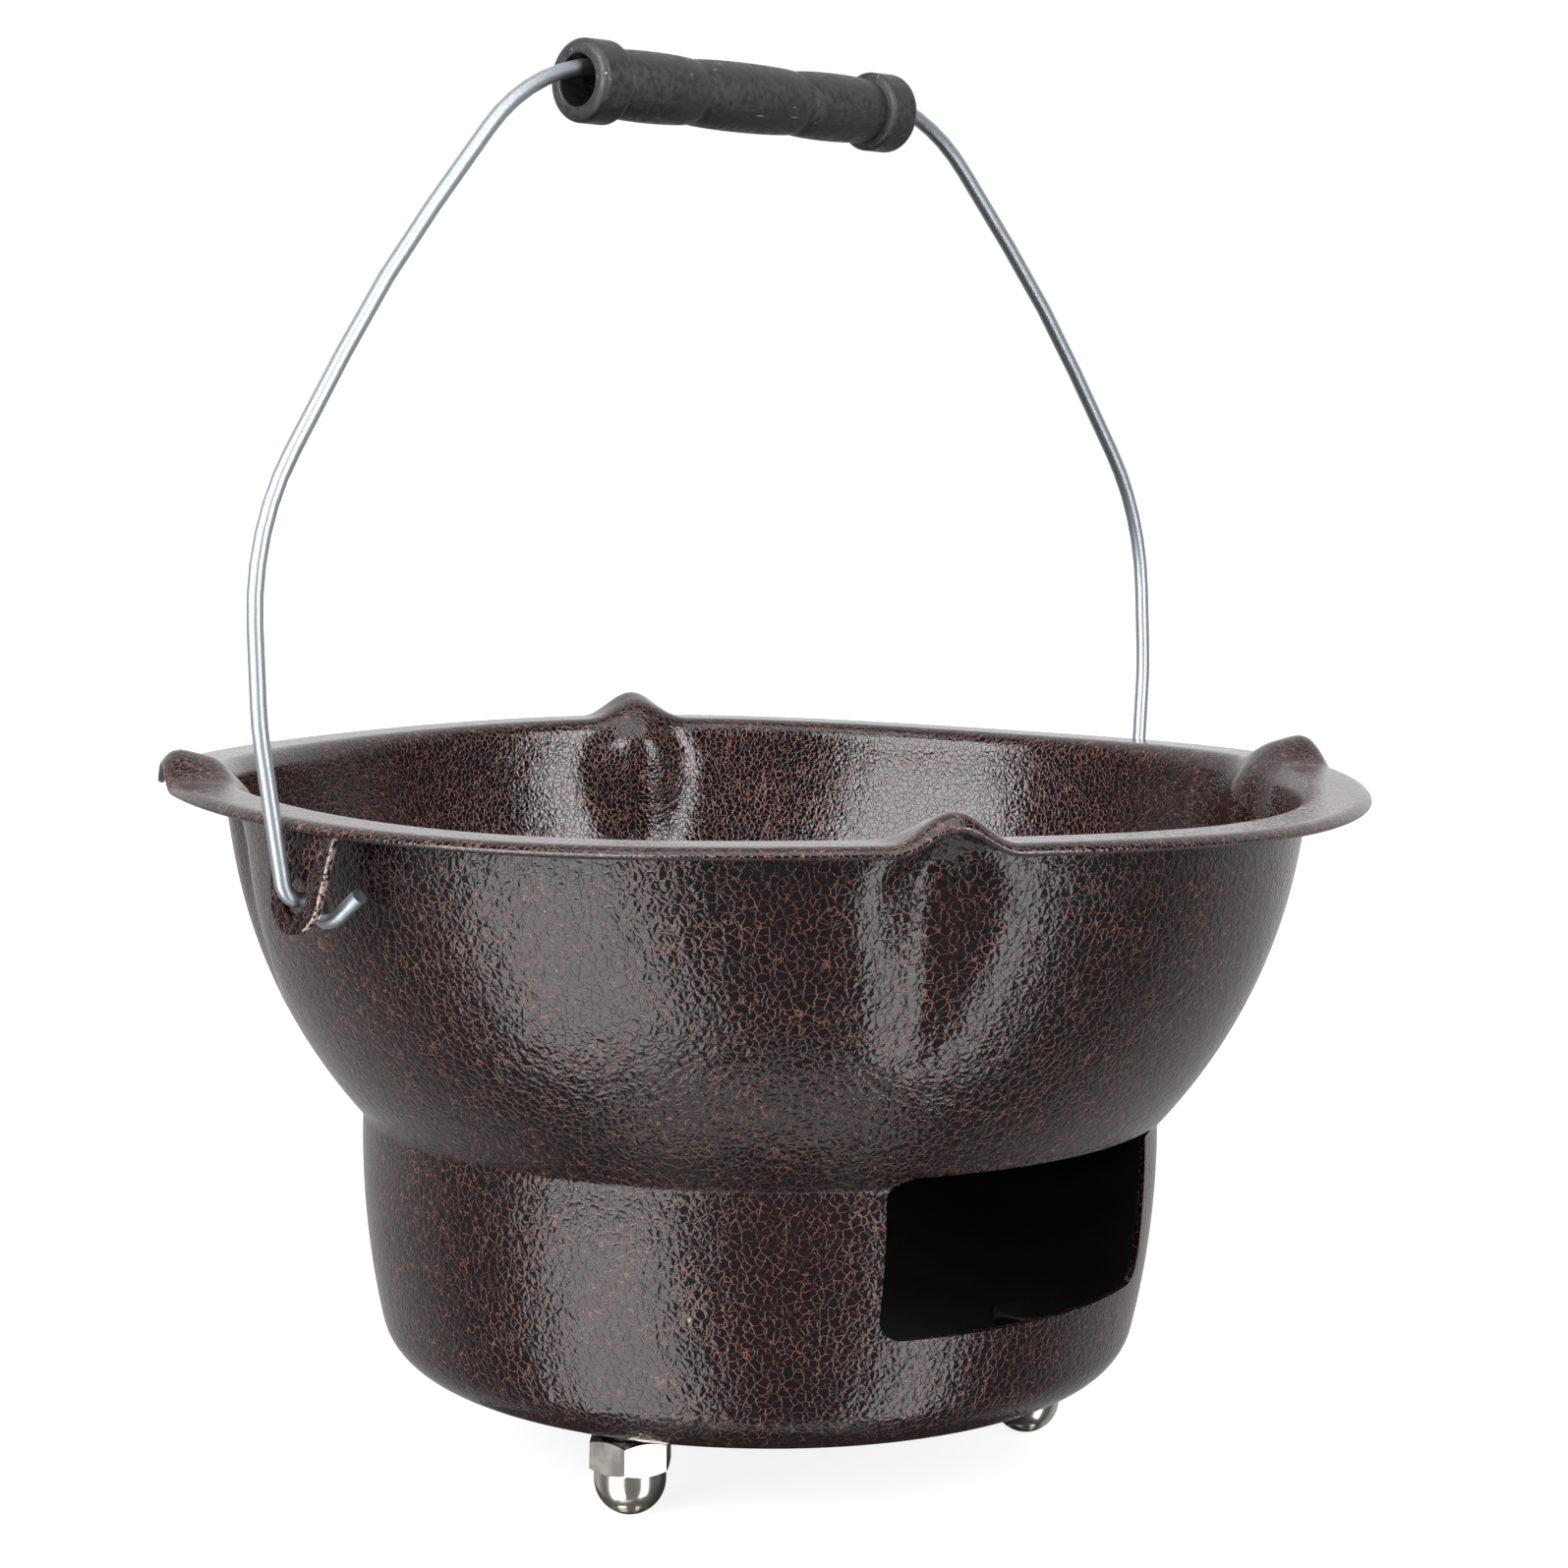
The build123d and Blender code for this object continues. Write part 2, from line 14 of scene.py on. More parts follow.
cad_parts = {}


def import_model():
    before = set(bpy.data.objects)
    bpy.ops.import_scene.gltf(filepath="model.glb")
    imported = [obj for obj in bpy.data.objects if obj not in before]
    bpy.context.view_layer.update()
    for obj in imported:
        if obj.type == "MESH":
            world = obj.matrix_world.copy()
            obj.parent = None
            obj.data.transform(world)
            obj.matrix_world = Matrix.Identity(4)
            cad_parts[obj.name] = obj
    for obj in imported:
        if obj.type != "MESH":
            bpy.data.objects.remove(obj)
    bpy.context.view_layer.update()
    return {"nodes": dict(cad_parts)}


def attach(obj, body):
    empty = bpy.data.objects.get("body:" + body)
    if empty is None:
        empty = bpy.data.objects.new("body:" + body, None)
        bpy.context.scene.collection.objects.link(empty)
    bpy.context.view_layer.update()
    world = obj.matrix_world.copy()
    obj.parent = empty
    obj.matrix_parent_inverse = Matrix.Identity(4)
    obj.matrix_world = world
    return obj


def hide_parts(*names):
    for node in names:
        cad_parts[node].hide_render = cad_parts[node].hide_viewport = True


log = logging.getLogger("stove")

MM = 0.001

# Largest value that is taken as zero, and metres between points that are joined
TINY = 1e-6
SAME_PLACE = 2e-6

# Share of a straight run that a bend may use up, and degrees between the points of a bend
RUN_SHARE = 0.49
BEND_STEP = 6.0

# Places that the ears, the bail and the grip share, in millimetres and degrees
EAR_DISTANCE = 135.17
PIVOT_Z = 141.5
BAIL_LEAN = 3.7

Point2 = tuple[float, float]
Range = tuple[float, float]
Object = bpy.types.Object
Material = bpy.types.Material
Socket = bpy.types.NodeSocket


class Slot(Enum):
    """Material slots."""

    HAMMERTONE = "hammertone"
    WIRE = "galvanised_wire"
    PLASTIC = "black_plastic"
    NICKEL = "nickel_plate"
    BLACKENED = "blackened_steel"
    CASTING = "bare_casting"


# Curves in a plane


def polar(centre: Point2, radius: float, degrees: float) -> Point2:
    """Point on a circle.

    Args:
        centre: Centre of the circle.
        radius: Its radius.
        degrees: Angle, counter-clockwise from the first axis.
    """
    angle = math.radians(degrees)
    return (centre[0] + radius * math.cos(angle), centre[1] + radius * math.sin(angle))


def angle_to(start: Point2, end: Point2) -> float:
    """Direction from one point to another.

    Args:
        start: First point.
        end: Second point.

    Returns:
        Angle in degrees.
    """
    return math.degrees(math.atan2(end[1] - start[1], end[0] - start[0]))


def arc(centre: Point2, radius: float, start: float, end: float, step: float) -> list[Point2]:
    """Points along an arc, both ends among them.

    Args:
        centre: Centre of the arc.
        radius: Its radius.
        start: First angle in degrees.
        end: Last angle in degrees.
        step: Longest spacing between points.
    """
    length = abs(math.radians(end - start)) * radius
    count = max(1, math.ceil(length / step))
    return [polar(centre, radius, start + (end - start) * i / count) for i in range(count + 1)]


def line(start: Point2, end: Point2, step: float) -> list[Point2]:
    """Points along a straight line, both ends among them.

    Args:
        start: First point.
        end: Last point.
        step: Longest spacing between points.
    """
    count = max(1, math.ceil(math.dist(start, end) / step))
    return [
        (start[0] + (end[0] - start[0]) * i / count, start[1] + (end[1] - start[1]) * i / count)
        for i in range(count + 1)
    ]


def chain(*runs: Sequence[Point2]) -> list[Point2]:
    """Joins runs of points, leaving out the ones that repeat.

    Args:
        *runs: Runs that follow on from each other.
    """
    points: list[Point2] = []
    for run in runs:
        for point in run:
            if not points or math.dist(points[-1], point) > TINY:
                points.append(point)
    return points


def crossing(centre_a: Point2, radius_a: float, centre_b: Point2, radius_b: float) -> Point2:
    """Where two circles cross, on the side of the larger first coordinate.

    Args:
        centre_a: Centre of the first circle.
        radius_a: Its radius.
        centre_b: Centre of the second circle.
        radius_b: Its radius.
    """
    dx, dy = centre_b[0] - centre_a[0], centre_b[1] - centre_a[1]
    gap = math.hypot(dx, dy)
    share = (radius_a**2 - radius_b**2 + gap**2) / (2 * gap)
    side = math.sqrt(radius_a**2 - share**2)
    middle = (centre_a[0] + share * dx / gap, centre_a[1] + share * dy / gap)
    found = [
        (middle[0] + sign * side * dy / gap, middle[1] - sign * side * dx / gap)
        for sign in (-1, 1)
    ]
    return max(found)


def rounded(corners: Sequence[Point2], radii: Sequence[float], step: float) -> list[Point2]:
    """Points along a polyline whose inner corners are rounded.

    Args:
        corners: Corner points.
        radii: One radius for each inner corner, 0 for a sharp one.
        step: Longest spacing between points.
    """
    runs: list[list[Point2]] = []
    last = corners[0]
    for before, corner, after, radius in zip(corners, corners[1:], corners[2:], radii):
        into = Vector(corner) - Vector(before)
        out = Vector(after) - Vector(corner)
        turn = into.angle_signed(out)
        if radius <= 0 or abs(turn) < TINY:
            runs.append(line(last, corner, step))
            last = corner
            continue
        cut = radius * math.tan(abs(turn) / 2)
        start = Vector(corner) - into.normalized() * cut
        side = 1.0 if into.x * out.y - into.y * out.x > 0 else -1.0
        inward = Vector((-into.y, into.x)).normalized() * side
        centre = start + inward * radius
        first = angle_to(tuple(centre), tuple(start))
        runs.append(line(last, tuple(start), step))
        swept = side * math.degrees(abs(turn))
        runs.append(arc(tuple(centre), radius, first, first + swept, step))
        last = runs[-1][-1]
    runs.append(line(last, corners[-1], step))
    return chain(*runs)


def travelled(points: np.ndarray) -> np.ndarray:
    """Distance travelled along a polyline, at each of its points."""
    steps = np.hypot(*np.diff(points, axis=0).T)
    return np.concatenate([[0.0], np.cumsum(steps)])


# Modelling with operators


def only(obj: Object) -> None:
    """Makes one object the active and only selected one."""
    bpy.ops.object.select_all(action="DESELECT")
    obj.select_set(True)
    bpy.context.view_layer.objects.active = obj


@contextmanager
def editing(obj: Object) -> Iterator[None]:
    """Keeps one object in edit mode while a block runs."""
    only(obj)
    bpy.ops.object.mode_set(mode="EDIT")
    yield
    bpy.ops.object.mode_set(mode="OBJECT")


def placed(name: str, data: bpy.types.ID) -> Object:
    """Puts a mesh, curve, camera or light into the scene as a new object."""
    obj = bpy.data.objects.new(name, data)
    bpy.context.scene.collection.objects.link(obj)
    return obj


def wire_object(name: str, points: Sequence[Sequence[float]], closed: bool = False) -> Object:
    """Mesh object made of one run of edges.

    Args:
        name: Name of the object.
        points: Its points in metres.
        closed: Whether the last point joins the first.
    """
    mesh = bpy.data.meshes.new(name)
    count = len(points)
    edges = [(i, (i + 1) % count) for i in range(count if closed else count - 1)]
    mesh.from_pydata([tuple(p) for p in points], edges, [])
    return placed(name, mesh)


def spin(name: str, profile: Sequence[Point2], steps: int, axis: str = "Z") -> Object:
    """Surface of revolution.

    Args:
        name: Name of the object.
        profile: Points as (radius, height along the axis), in millimetres.
        steps: Number of columns.
        axis: "Z" or "X".
    """
    if axis == "Z":
        points = [(r * MM, 0.0, h * MM) for r, h in profile]
        direction = (0.0, 0.0, 1.0)
    else:
        points = [(h * MM, 0.0, r * MM) for r, h in profile]
        direction = (1.0, 0.0, 0.0)
    obj = wire_object(name, points)
    with editing(obj):
        bpy.ops.mesh.select_all(action="SELECT")
        bpy.ops.mesh.spin(steps=steps, angle=math.tau, center=(0, 0, 0), axis=direction)
        bpy.ops.mesh.select_all(action="SELECT")
        bpy.ops.mesh.remove_doubles(threshold=SAME_PLACE)
        bpy.ops.mesh.normals_make_consistent(inside=False)
    return obj


def coordinates(obj: Object) -> np.ndarray:
    """Vertex places of a mesh object.

    Returns:
        Array of shape (count, 3), in metres.
    """
    flat = np.zeros(len(obj.data.vertices) * 3)
    obj.data.vertices.foreach_get("co", flat)
    return flat.reshape(-1, 3)


def move_vertices(obj: Object, places: np.ndarray) -> None:
    """Gives a mesh object new vertex places.

    Args:
        obj: The object.
        places: Array of shape (count, 3), in metres.
    """
    obj.data.vertices.foreach_set("co", places.reshape(-1))
    obj.data.update()


def apply_modifier(obj: Object, kind: str, **settings: object) -> None:
    """Adds a modifier and applies it.

    Args:
        obj: The object.
        kind: Type of the modifier.
        **settings: Its settings.
    """
    modifier = obj.modifiers.new(kind.lower(), kind)
    for key, value in settings.items():
        setattr(modifier, key, value)
    only(obj)
    bpy.ops.object.modifier_apply(modifier=modifier.name)


def cut_out(obj: Object, tool: Object) -> None:
    """Cuts a solid, the tool, out of another one, and uses the tool up."""
    apply_modifier(obj, "BOOLEAN", object=tool, operation="DIFFERENCE", solver="EXACT")
    bpy.data.objects.remove(tool)


def smooth(obj: Object, degrees: float = 35.0) -> None:
    """Shades a mesh smooth, with sharp edges above an angle."""
    only(obj)
    bpy.ops.object.shade_smooth_by_angle(angle=math.radians(degrees))


def turn_outwards(obj: Object) -> None:
    """Makes all faces of a mesh point outwards."""
    with editing(obj):
        bpy.ops.mesh.select_all(action="SELECT")
        bpy.ops.mesh.normals_make_consistent(inside=False)


def edge_spans(obj: Object) -> np.ndarray:
    """How far each edge of a mesh object reaches along each axis.

    Returns:
        Array of shape (count, 3), in metres.
    """
    ends = np.zeros(len(obj.data.edges) * 2, dtype=np.int64)
    obj.data.edges.foreach_get("vertices", ends)
    places = coordinates(obj)
    return np.abs(places[ends[::2]] - places[ends[1::2]])


def select_only(obj: Object, kind: str, mask: np.ndarray) -> None:
    """Selects only the edges or faces of a mask.

    Args:
        obj: The object.
        kind: "edges" or "polygons".
        mask: True for each one to select.
    """
    for name in ("vertices", "edges", "polygons"):
        elements = getattr(obj.data, name)
        chosen = mask if name == kind else np.zeros(len(elements), dtype=bool)
        elements.foreach_set("select", chosen)


def bevel_selected(obj: Object, width: float, segments: int, around_faces: bool = False) -> None:
    """Bevels the edges that are selected, or those around the faces that are.

    Args:
        obj: The object.
        width: Offset in millimetres.
        segments: Number of segments.
        around_faces: Whether faces are selected.
    """
    with editing(obj):
        bpy.ops.mesh.select_mode(type="FACE" if around_faces else "EDGE")
        if around_faces:
            bpy.ops.mesh.region_to_loop()
        bpy.ops.mesh.bevel(offset=width * MM, segments=segments, affect="EDGES", clamp_overlap=True)


def bent(corners: Sequence[Vector], radii: Sequence[float]) -> list[Vector]:
    """Points along a polyline in space whose inner corners are rounded.

    Args:
        corners: Corner points.
        radii: One radius for each inner corner, made smaller where its straight runs are short.
    """
    points = [corners[0]]
    for before, corner, after, radius in zip(corners, corners[1:], corners[2:], radii):
        into, out = corner - before, after - corner
        turn = into.angle(out)
        slope = math.tan(turn / 2)
        cut = min(radius * slope, RUN_SHARE * into.length, RUN_SHARE * out.length)
        start = corner - into.normalized() * cut
        inward = (out.normalized() - into.normalized()).normalized()
        middle = corner + inward * (cut / slope) / math.cos(turn / 2)
        count = max(2, math.ceil(math.degrees(turn) / BEND_STEP))
        for i in range(count + 1):
            step = Quaternion(into.cross(out).normalized(), turn * i / count)
            points.append(middle + step @ (start - middle))
    return points + [corners[-1]]


def smooth_step(value: np.ndarray, low: float, high: float) -> np.ndarray:
    """Smooth rise from 0 at low to 1 at high.

    Args:
        value: Values.
        low: Where the rise starts.
        high: Where it ends.

    Returns:
        Values from 0 to 1.
    """
    t = np.clip((value - low) / (high - low), 0, 1)
    return t * t * (3 - 2 * t)


# Finishes


def linear(hexadecimal: str) -> tuple[float, float, float, float]:
    """Linear colour from an sRGB one.

    Args:
        hexadecimal: Colour such as "#a0b0c0".

    Returns:
        Red, green, blue and alpha.
    """
    digits = hexadecimal.lstrip("#")
    parts = [int(digits[i : i + 2], 16) / 255 for i in (0, 2, 4)]
    r, g, b = (p / 12.92 if p <= 0.04045 else ((p + 0.055) / 1.055) ** 2.4 for p in parts)
    return (r, g, b, 1.0)


class Graph:
    """Node tree of one material or world."""

    def __init__(self, owner: Material | bpy.types.World) -> None:
        owner.use_nodes = True
        self.owner = owner
        self.tree = owner.node_tree

    @property
    def shader(self) -> bpy.types.Node:
        """The Principled BSDF of a material."""
        return self.tree.nodes["Principled BSDF"]

    def add(self, kind: str, values: dict | None = None, **settings: object) -> bpy.types.Node:
        """Adds a node.

        Args:
            kind: Node type without its ShaderNode prefix.
            values: Inputs by name or number: a value, or a socket to link.
            **settings: Properties of the node.
        """
        node = self.tree.nodes.new("ShaderNode" + kind)
        for key, value in settings.items():
            setattr(node, key, value)
        self.fill(node, values or {})
        return node

    def fill(self, node: bpy.types.Node, values: dict) -> None:
        """Sets or links a node's inputs, by name or number."""
        for key, value in values.items():
            if isinstance(value, Socket):
                self.tree.links.new(value, node.inputs[key])
            else:
                node.inputs[key].default_value = value

    def object_mm(self, scale: Sequence[float] = (1.0, 1.0, 1.0)) -> Socket:
        """Object coordinates in millimetres.

        Args:
            scale: Extra scale along each axis.
        """
        place = self.add("TexCoord").outputs["Object"]
        full = tuple(s / MM for s in scale)
        return self.add("Mapping", {"Vector": place, "Scale": full}).outputs["Vector"]

    def noise(self, vector: Socket, size: float, detail: float = 2.0, output: str = "Fac") -> Socket:
        """Noise whose lumps have a real size.

        Args:
            vector: Coordinates in millimetres.
            size: Size of a lump in millimetres.
            detail: Number of finer layers.
            output: "Fac" for a number, "Color" for three.
        """
        values = {"Vector": vector, "Scale": 1 / size, "Detail": detail}
        return self.add("TexNoise", values).outputs[output]

    def maths(self, operation: str, *values: object, clamp: bool = False) -> Socket:
        """Arithmetic on numbers.

        Args:
            operation: Kind of operation.
            *values: Numbers or sockets.
            clamp: Whether the result is clamped to 0 and 1.
        """
        node = self.add("Math", dict(enumerate(values)), operation=operation, use_clamp=clamp)
        return node.outputs[0]

    def ramp(self, value: Socket, low: float, high: float, start: float = 0.0, end: float = 1.0) -> Socket:
        """Smooth change from start to end as a value goes from low to high.

        Args:
            value: The value.
            low: Where the change starts.
            high: Where it ends.
            start: Result at low.
            end: Result at high.
        """
        values = {"Value": value, "From Min": low, "From Max": high, "To Min": start, "To Max": end}
        return self.add("MapRange", values, interpolation_type="SMOOTHSTEP").outputs["Result"]

    def mix(self, factor: object, first: object, second: object) -> Socket:
        """Mixes two colours.

        Args:
            factor: Share of the second.
            first: Colour or socket.
            second: Colour or socket.
        """
        node = self.add("Mix", {"Factor": factor, 6: first, 7: second}, data_type="RGBA")
        return node.outputs[2]

    def bump(self, height: Socket, depth: float, normal: Socket | None = None) -> Socket:
        """Normal bent by a height.

        Args:
            height: Height from 0 to 1.
            depth: Depth in millimetres that 1 stands for.
            normal: Normal to start from.
        """
        values = {"Height": height, "Distance": depth * MM, "Strength": 1.0}
        if normal is not None:
            values["Normal"] = normal
        return self.add("Bump", values).outputs["Normal"]


@dataclass(frozen=True)
class Mark:
    """Chance mark in the coat.

    Args:
        place: Its middle, in millimetres.
        radius: Its radius in millimetres.
        colour: Its colour.
    """

    place: tuple[float, float, float]
    radius: float
    colour: str


@dataclass(frozen=True)
class Hammertone:
    """Copper-vein hammertone powder coat. Sizes and depths in millimetres.

    Domed cells lie between grooves, and veins run along the grooves. A vein's half width, a groove's width
    and a dome's rounded edge are shares of a cell. The veins have thin and thick areas (blotch) and gaps.
    Small lumps (peel) and slow waves (slack) lie under the cells. Inside the body the cells are finer, the
    veins wider and the relief weaker, and below a set height the inner side is painted near-black as painted
    shade, for the ash chamber in shadow. Edges marked on the ears' front side are painted light in patches,
    as a painted highlight. A wander is the size of the bends in an outline, and how far they go. A range
    holds the values of a noise between which its effect sets in.
    """

    name: str = "hammertone powder coat"
    dark: str = "#0b0606"
    warm: str = "#180d0c"
    copper: str = "#71463d"
    # Near-black painted shade for the ash chamber's inner side, below the grate
    shade_colour: str = "#060606"
    # Light colour of the painted highlight on the ears' front arris
    edge_highlight_colour: str = "#8f7f76"
    marks: tuple[Mark, ...] = (
        Mark((-76.4, -53.7, 52.4), 1.35, "#a88a60"),
        Mark((-76.8, -53.3, 50.7), 1.15, "#8a6a44"),
    )
    cell: float = 1.9
    wander: tuple[float, float] = (2.4, 2.4)
    vein: float = 0.038
    blotch: float = 11.0
    blotch_range: Range = (0.3, 0.7)
    blotch_widths: tuple[float, float] = (0.6, 1.4)
    gap: float = 1.6
    gap_range: Range = (0.38, 0.62)
    gap_vein: float = 0.08
    fleck: float = 0.45
    fleck_range: Range = (0.35, 0.75)
    # Size and noise range of the patches that the painted edge highlight is broken into
    highlight_patch: float = 0.9
    highlight_patch_range: Range = (0.44, 0.52)
    mark_wander: tuple[float, float] = (1.5, 1.6)
    mark_core: float = 0.7
    groove: float = 0.085
    groove_edge: float = 0.2
    dome: float = 0.5
    peel: float = 3.6
    slack: float = 9.0
    groove_depth: float = 0.027
    dome_depth: float = 0.06
    peel_depth: float = 0.168
    slack_depth: float = 0.132
    inner_scale: float = 1.4
    inner_vein: float = 1.7
    inner_relief: float = 0.5
    # Painted shade: height below which the inner side is painted near-black, and the fade above it
    shade_level: float = 84.0
    shade_fade: float = 6.0
    roughness: float = 0.06
    groove_roughness: float = 0.15
    shade_roughness: float = 0.9

    def bent_place(self, g: Graph, place: Socket, wander: tuple[float, float]) -> Socket:
        """Coordinates that wander, so that outlines lose their straight sides.

        Args:
            g: The material's graph.
            place: Coordinates in millimetres.
            wander: Size of the wandering and how far it goes, in millimetres.
        """
        size, reach = wander
        lumps = g.noise(place, size, output="Color")
        away = g.add("VectorMath", {0: lumps, 1: (0.5, 0.5, 0.5)}, operation="SUBTRACT").outputs[0]
        away = g.add("VectorMath", {0: away, 3: reach}, operation="SCALE").outputs[0]
        return g.add("VectorMath", {0: place, 1: away}, operation="ADD").outputs[0]

    def colour(self, g: Graph, place: Socket, vein: Socket, painted_shade: Socket) -> Socket:
        """Colour of the coat, with its marks, its painted edge highlight and its painted shade.

        Args:
            g: The material's graph.
            place: Coordinates in millimetres.
            vein: 1 in the middle of a vein, 0 beside it.
            painted_shade: 1 where the near-black painted shade lies.
        """
        kept = g.ramp(g.noise(place, self.gap), *self.gap_range, self.gap_vein, 1.0)
        vein = g.maths("MULTIPLY", vein, kept)
        flecks = g.ramp(g.noise(place, self.fleck), *self.fleck_range)
        colour = g.mix(vein, g.mix(flecks, linear(self.dark), linear(self.warm)), linear(self.copper))
        # Painted highlight: the ears' front arris is painted light, in patches
        painted_edge_highlight = g.add("Attribute", attribute_name="painted_edge_highlight").outputs["Fac"]
        highlight_patches = g.ramp(g.noise(place, self.highlight_patch), *self.highlight_patch_range)
        colour = g.mix(g.maths("MULTIPLY", painted_edge_highlight, highlight_patches), colour, linear(self.edge_highlight_colour))
        ragged = self.bent_place(g, place, self.mark_wander)
        for mark in self.marks:
            away = g.add("VectorMath", {0: ragged, 1: mark.place}, operation="DISTANCE")
            share = g.ramp(away.outputs["Value"], self.mark_core * mark.radius, mark.radius, 1.0, 0.0)
            colour = g.mix(share, colour, linear(mark.colour))
        # Painted shade: near-black on the inner side below a set height, in the ash chamber
        return g.mix(painted_shade, colour, linear(self.shade_colour))

    def build(self) -> Material:
        """Makes the material."""
        g = Graph(bpy.data.materials.new(self.name))
        place = g.object_mm()
        inside = g.add("Attribute", attribute_name="inside").outputs["Fac"]
        scale = g.ramp(inside, 0.0, 1.0, 1.0, self.inner_scale)
        finer = g.add("VectorMath", {0: place, 3: scale}, operation="SCALE")
        cells = {"Vector": self.bent_place(g, finer.outputs[0], self.wander), "Scale": 1 / self.cell}
        edge = g.add("TexVoronoi", cells, feature="DISTANCE_TO_EDGE").outputs["Distance"]
        blotch = g.noise(place, self.blotch, detail=3.0)
        width = g.ramp(blotch, *self.blotch_range, *(share * self.vein for share in self.blotch_widths))
        width = g.maths("MULTIPLY", width, g.ramp(inside, 0.0, 1.0, 1.0, self.inner_vein))
        vein = g.maths("SUBTRACT", 1.0, g.maths("DIVIDE", edge, width, clamp=True), clamp=True)
        # Mask of the painted shade: the inner side, below a set height
        height = g.add("SeparateXYZ", {"Vector": place}).outputs["Z"]
        low = g.ramp(height, self.shade_level, self.shade_level + self.shade_fade, 1.0, 0.0)
        painted_shade = g.maths("MULTIPLY", inside, low)
        calm = g.ramp(inside, 0.0, 1.0, 1.0, self.inner_relief)
        groove = g.ramp(edge, 0.0, self.groove)
        normal = g.bump(groove, self.groove_depth)
        dome = g.maths("MULTIPLY", g.ramp(edge, 0.0, self.dome), calm)
        normal = g.bump(dome, self.dome_depth, normal)
        peel = g.maths("MULTIPLY", g.noise(place, self.peel), calm)
        normal = g.bump(peel, self.peel_depth, normal)
        normal = g.bump(g.noise(place, self.slack), self.slack_depth, normal)
        gloss = g.ramp(groove, self.groove_edge, 1.0, self.groove_roughness, self.roughness)
        rough = g.maths("MAXIMUM", gloss, g.maths("MULTIPLY", painted_shade, self.shade_roughness))
        colour = self.colour(g, place, vein, painted_shade)
        g.fill(g.shader, {"Base Color": colour, "Roughness": rough, "Normal": normal})
        return g.owner


@dataclass(frozen=True)
class PlainFinish:
    """Finish with one colour, a speckle and a fine relief. Sizes in millimetres.

    A range holds the values of a noise between which its effect sets in.

    Args:
        name: Material name.
        colour: Main colour.
        second: Colour of the speckle.
        metallic: 1 for bare metal, 0 for plastic or paint.
        roughness: Mean roughness.
        speckle: Size of the speckle.
        spread: How far the roughness strays, as a share of it.
        relief: Depth of the relief.
        grain: Size of the relief.
        scratch: Colour of the scratches, if there are any.
        scratch_size: Width of a scratch.
        scratch_stretch: Its width over its length.
        scratch_area: Size of the areas with scratches.
    """

    name: str
    colour: str
    second: str
    metallic: float
    roughness: float
    speckle: float
    spread: float = 0.25
    relief: float = 0.0
    grain: float = 1.0
    scratch: str = ""
    scratch_size: float = 0.55
    scratch_stretch: float = 0.1
    scratch_area: float = 9.0
    speckle_range: Range = (0.35, 0.7)
    spread_range: Range = (0.3, 0.7)
    scratch_range: Range = (0.7, 0.76)
    area_range: Range = (0.48, 0.6)

    def build(self) -> Material:
        """Makes the material."""
        g = Graph(bpy.data.materials.new(self.name))
        place = g.object_mm()
        spots = g.noise(place, self.speckle, detail=4.0)
        colour = g.mix(g.ramp(spots, *self.speckle_range), linear(self.colour), linear(self.second))
        if self.scratch:
            stretched = g.object_mm((self.scratch_stretch, 1.0, 1.0))
            streaks = g.ramp(g.noise(stretched, self.scratch_size, detail=1.0), *self.scratch_range)
            areas = g.ramp(g.noise(place, self.scratch_area, detail=1.0), *self.area_range)
            colour = g.mix(g.maths("MULTIPLY", streaks, areas), colour, linear(self.scratch))
        low, high = (1 - self.spread) * self.roughness, min(1.0, (1 + self.spread) * self.roughness)
        rough = g.ramp(spots, *self.spread_range, low, high)
        g.fill(g.shader, {"Base Color": colour, "Metallic": self.metallic, "Roughness": rough})
        if self.relief:
            grain = g.noise(place, self.grain, detail=3.0)
            g.fill(g.shader, {"Normal": g.bump(grain, self.relief)})
        return g.owner


FINISHES = {
    Slot.HAMMERTONE: Hammertone(),
    Slot.WIRE: PlainFinish(
        "galvanised steel wire", "#a9afb4", "#999fa5", metallic=1.0, roughness=0.42, speckle=0.5,
        spread=0.08, relief=0.004, grain=0.5,
    ),
    Slot.PLASTIC: PlainFinish(
        "black moulded plastic", "#18181a", "#232325", metallic=0.0, roughness=0.5, speckle=1.5,
        relief=0.04, grain=1.2, scratch="#8f8d88",
    ),
    Slot.NICKEL: PlainFinish("nickel plate", "#dcd8d0", "#cbc6bd", metallic=1.0, roughness=0.19, speckle=5.0),
    Slot.BLACKENED: PlainFinish(
        "blackened steel", "#1a1918", "#242220", metallic=0.0, roughness=0.45, speckle=1.0,
    ),
    Slot.CASTING: PlainFinish(
        "bare iron casting", "#2b2a29", "#1d1c1b", metallic=0.0, roughness=0.75, speckle=1.2,
        relief=0.15, grain=0.9,
    ),
}


# Pieces


def finished(obj: Object, material: Material, slot: Slot, body: str, *nodes: str) -> Object:
    """Gives a finished piece its material and body.

    Args:
        obj: The piece, in place.
        material: Its material.
        slot: Not used.
        body: Body it moves with.
        *nodes: Solids that it stands for.
    """
    obj.data.materials.clear()
    obj.data.materials.append(material)
    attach(obj, body)
    if nodes:
        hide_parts(*nodes)
    log.info("%s: %d triangles", obj.name, sum(len(p.vertices) - 2 for p in obj.data.polygons))
    return obj


@dataclass(frozen=True)
class Spacing:
    """Longest distances between points along the parts of the body's outline, in millimetres."""

    lip: float = 0.9
    flange: float = 1.5
    bend: float = 0.8
    bowl: float = 2.4
    waist: float = 0.6
    barrel: float = 3.3
    corner: float = 1.2
    bevel: float = 2.0
    crown: float = 1.5
    floor: float = 9.0
    crest: float = 0.6


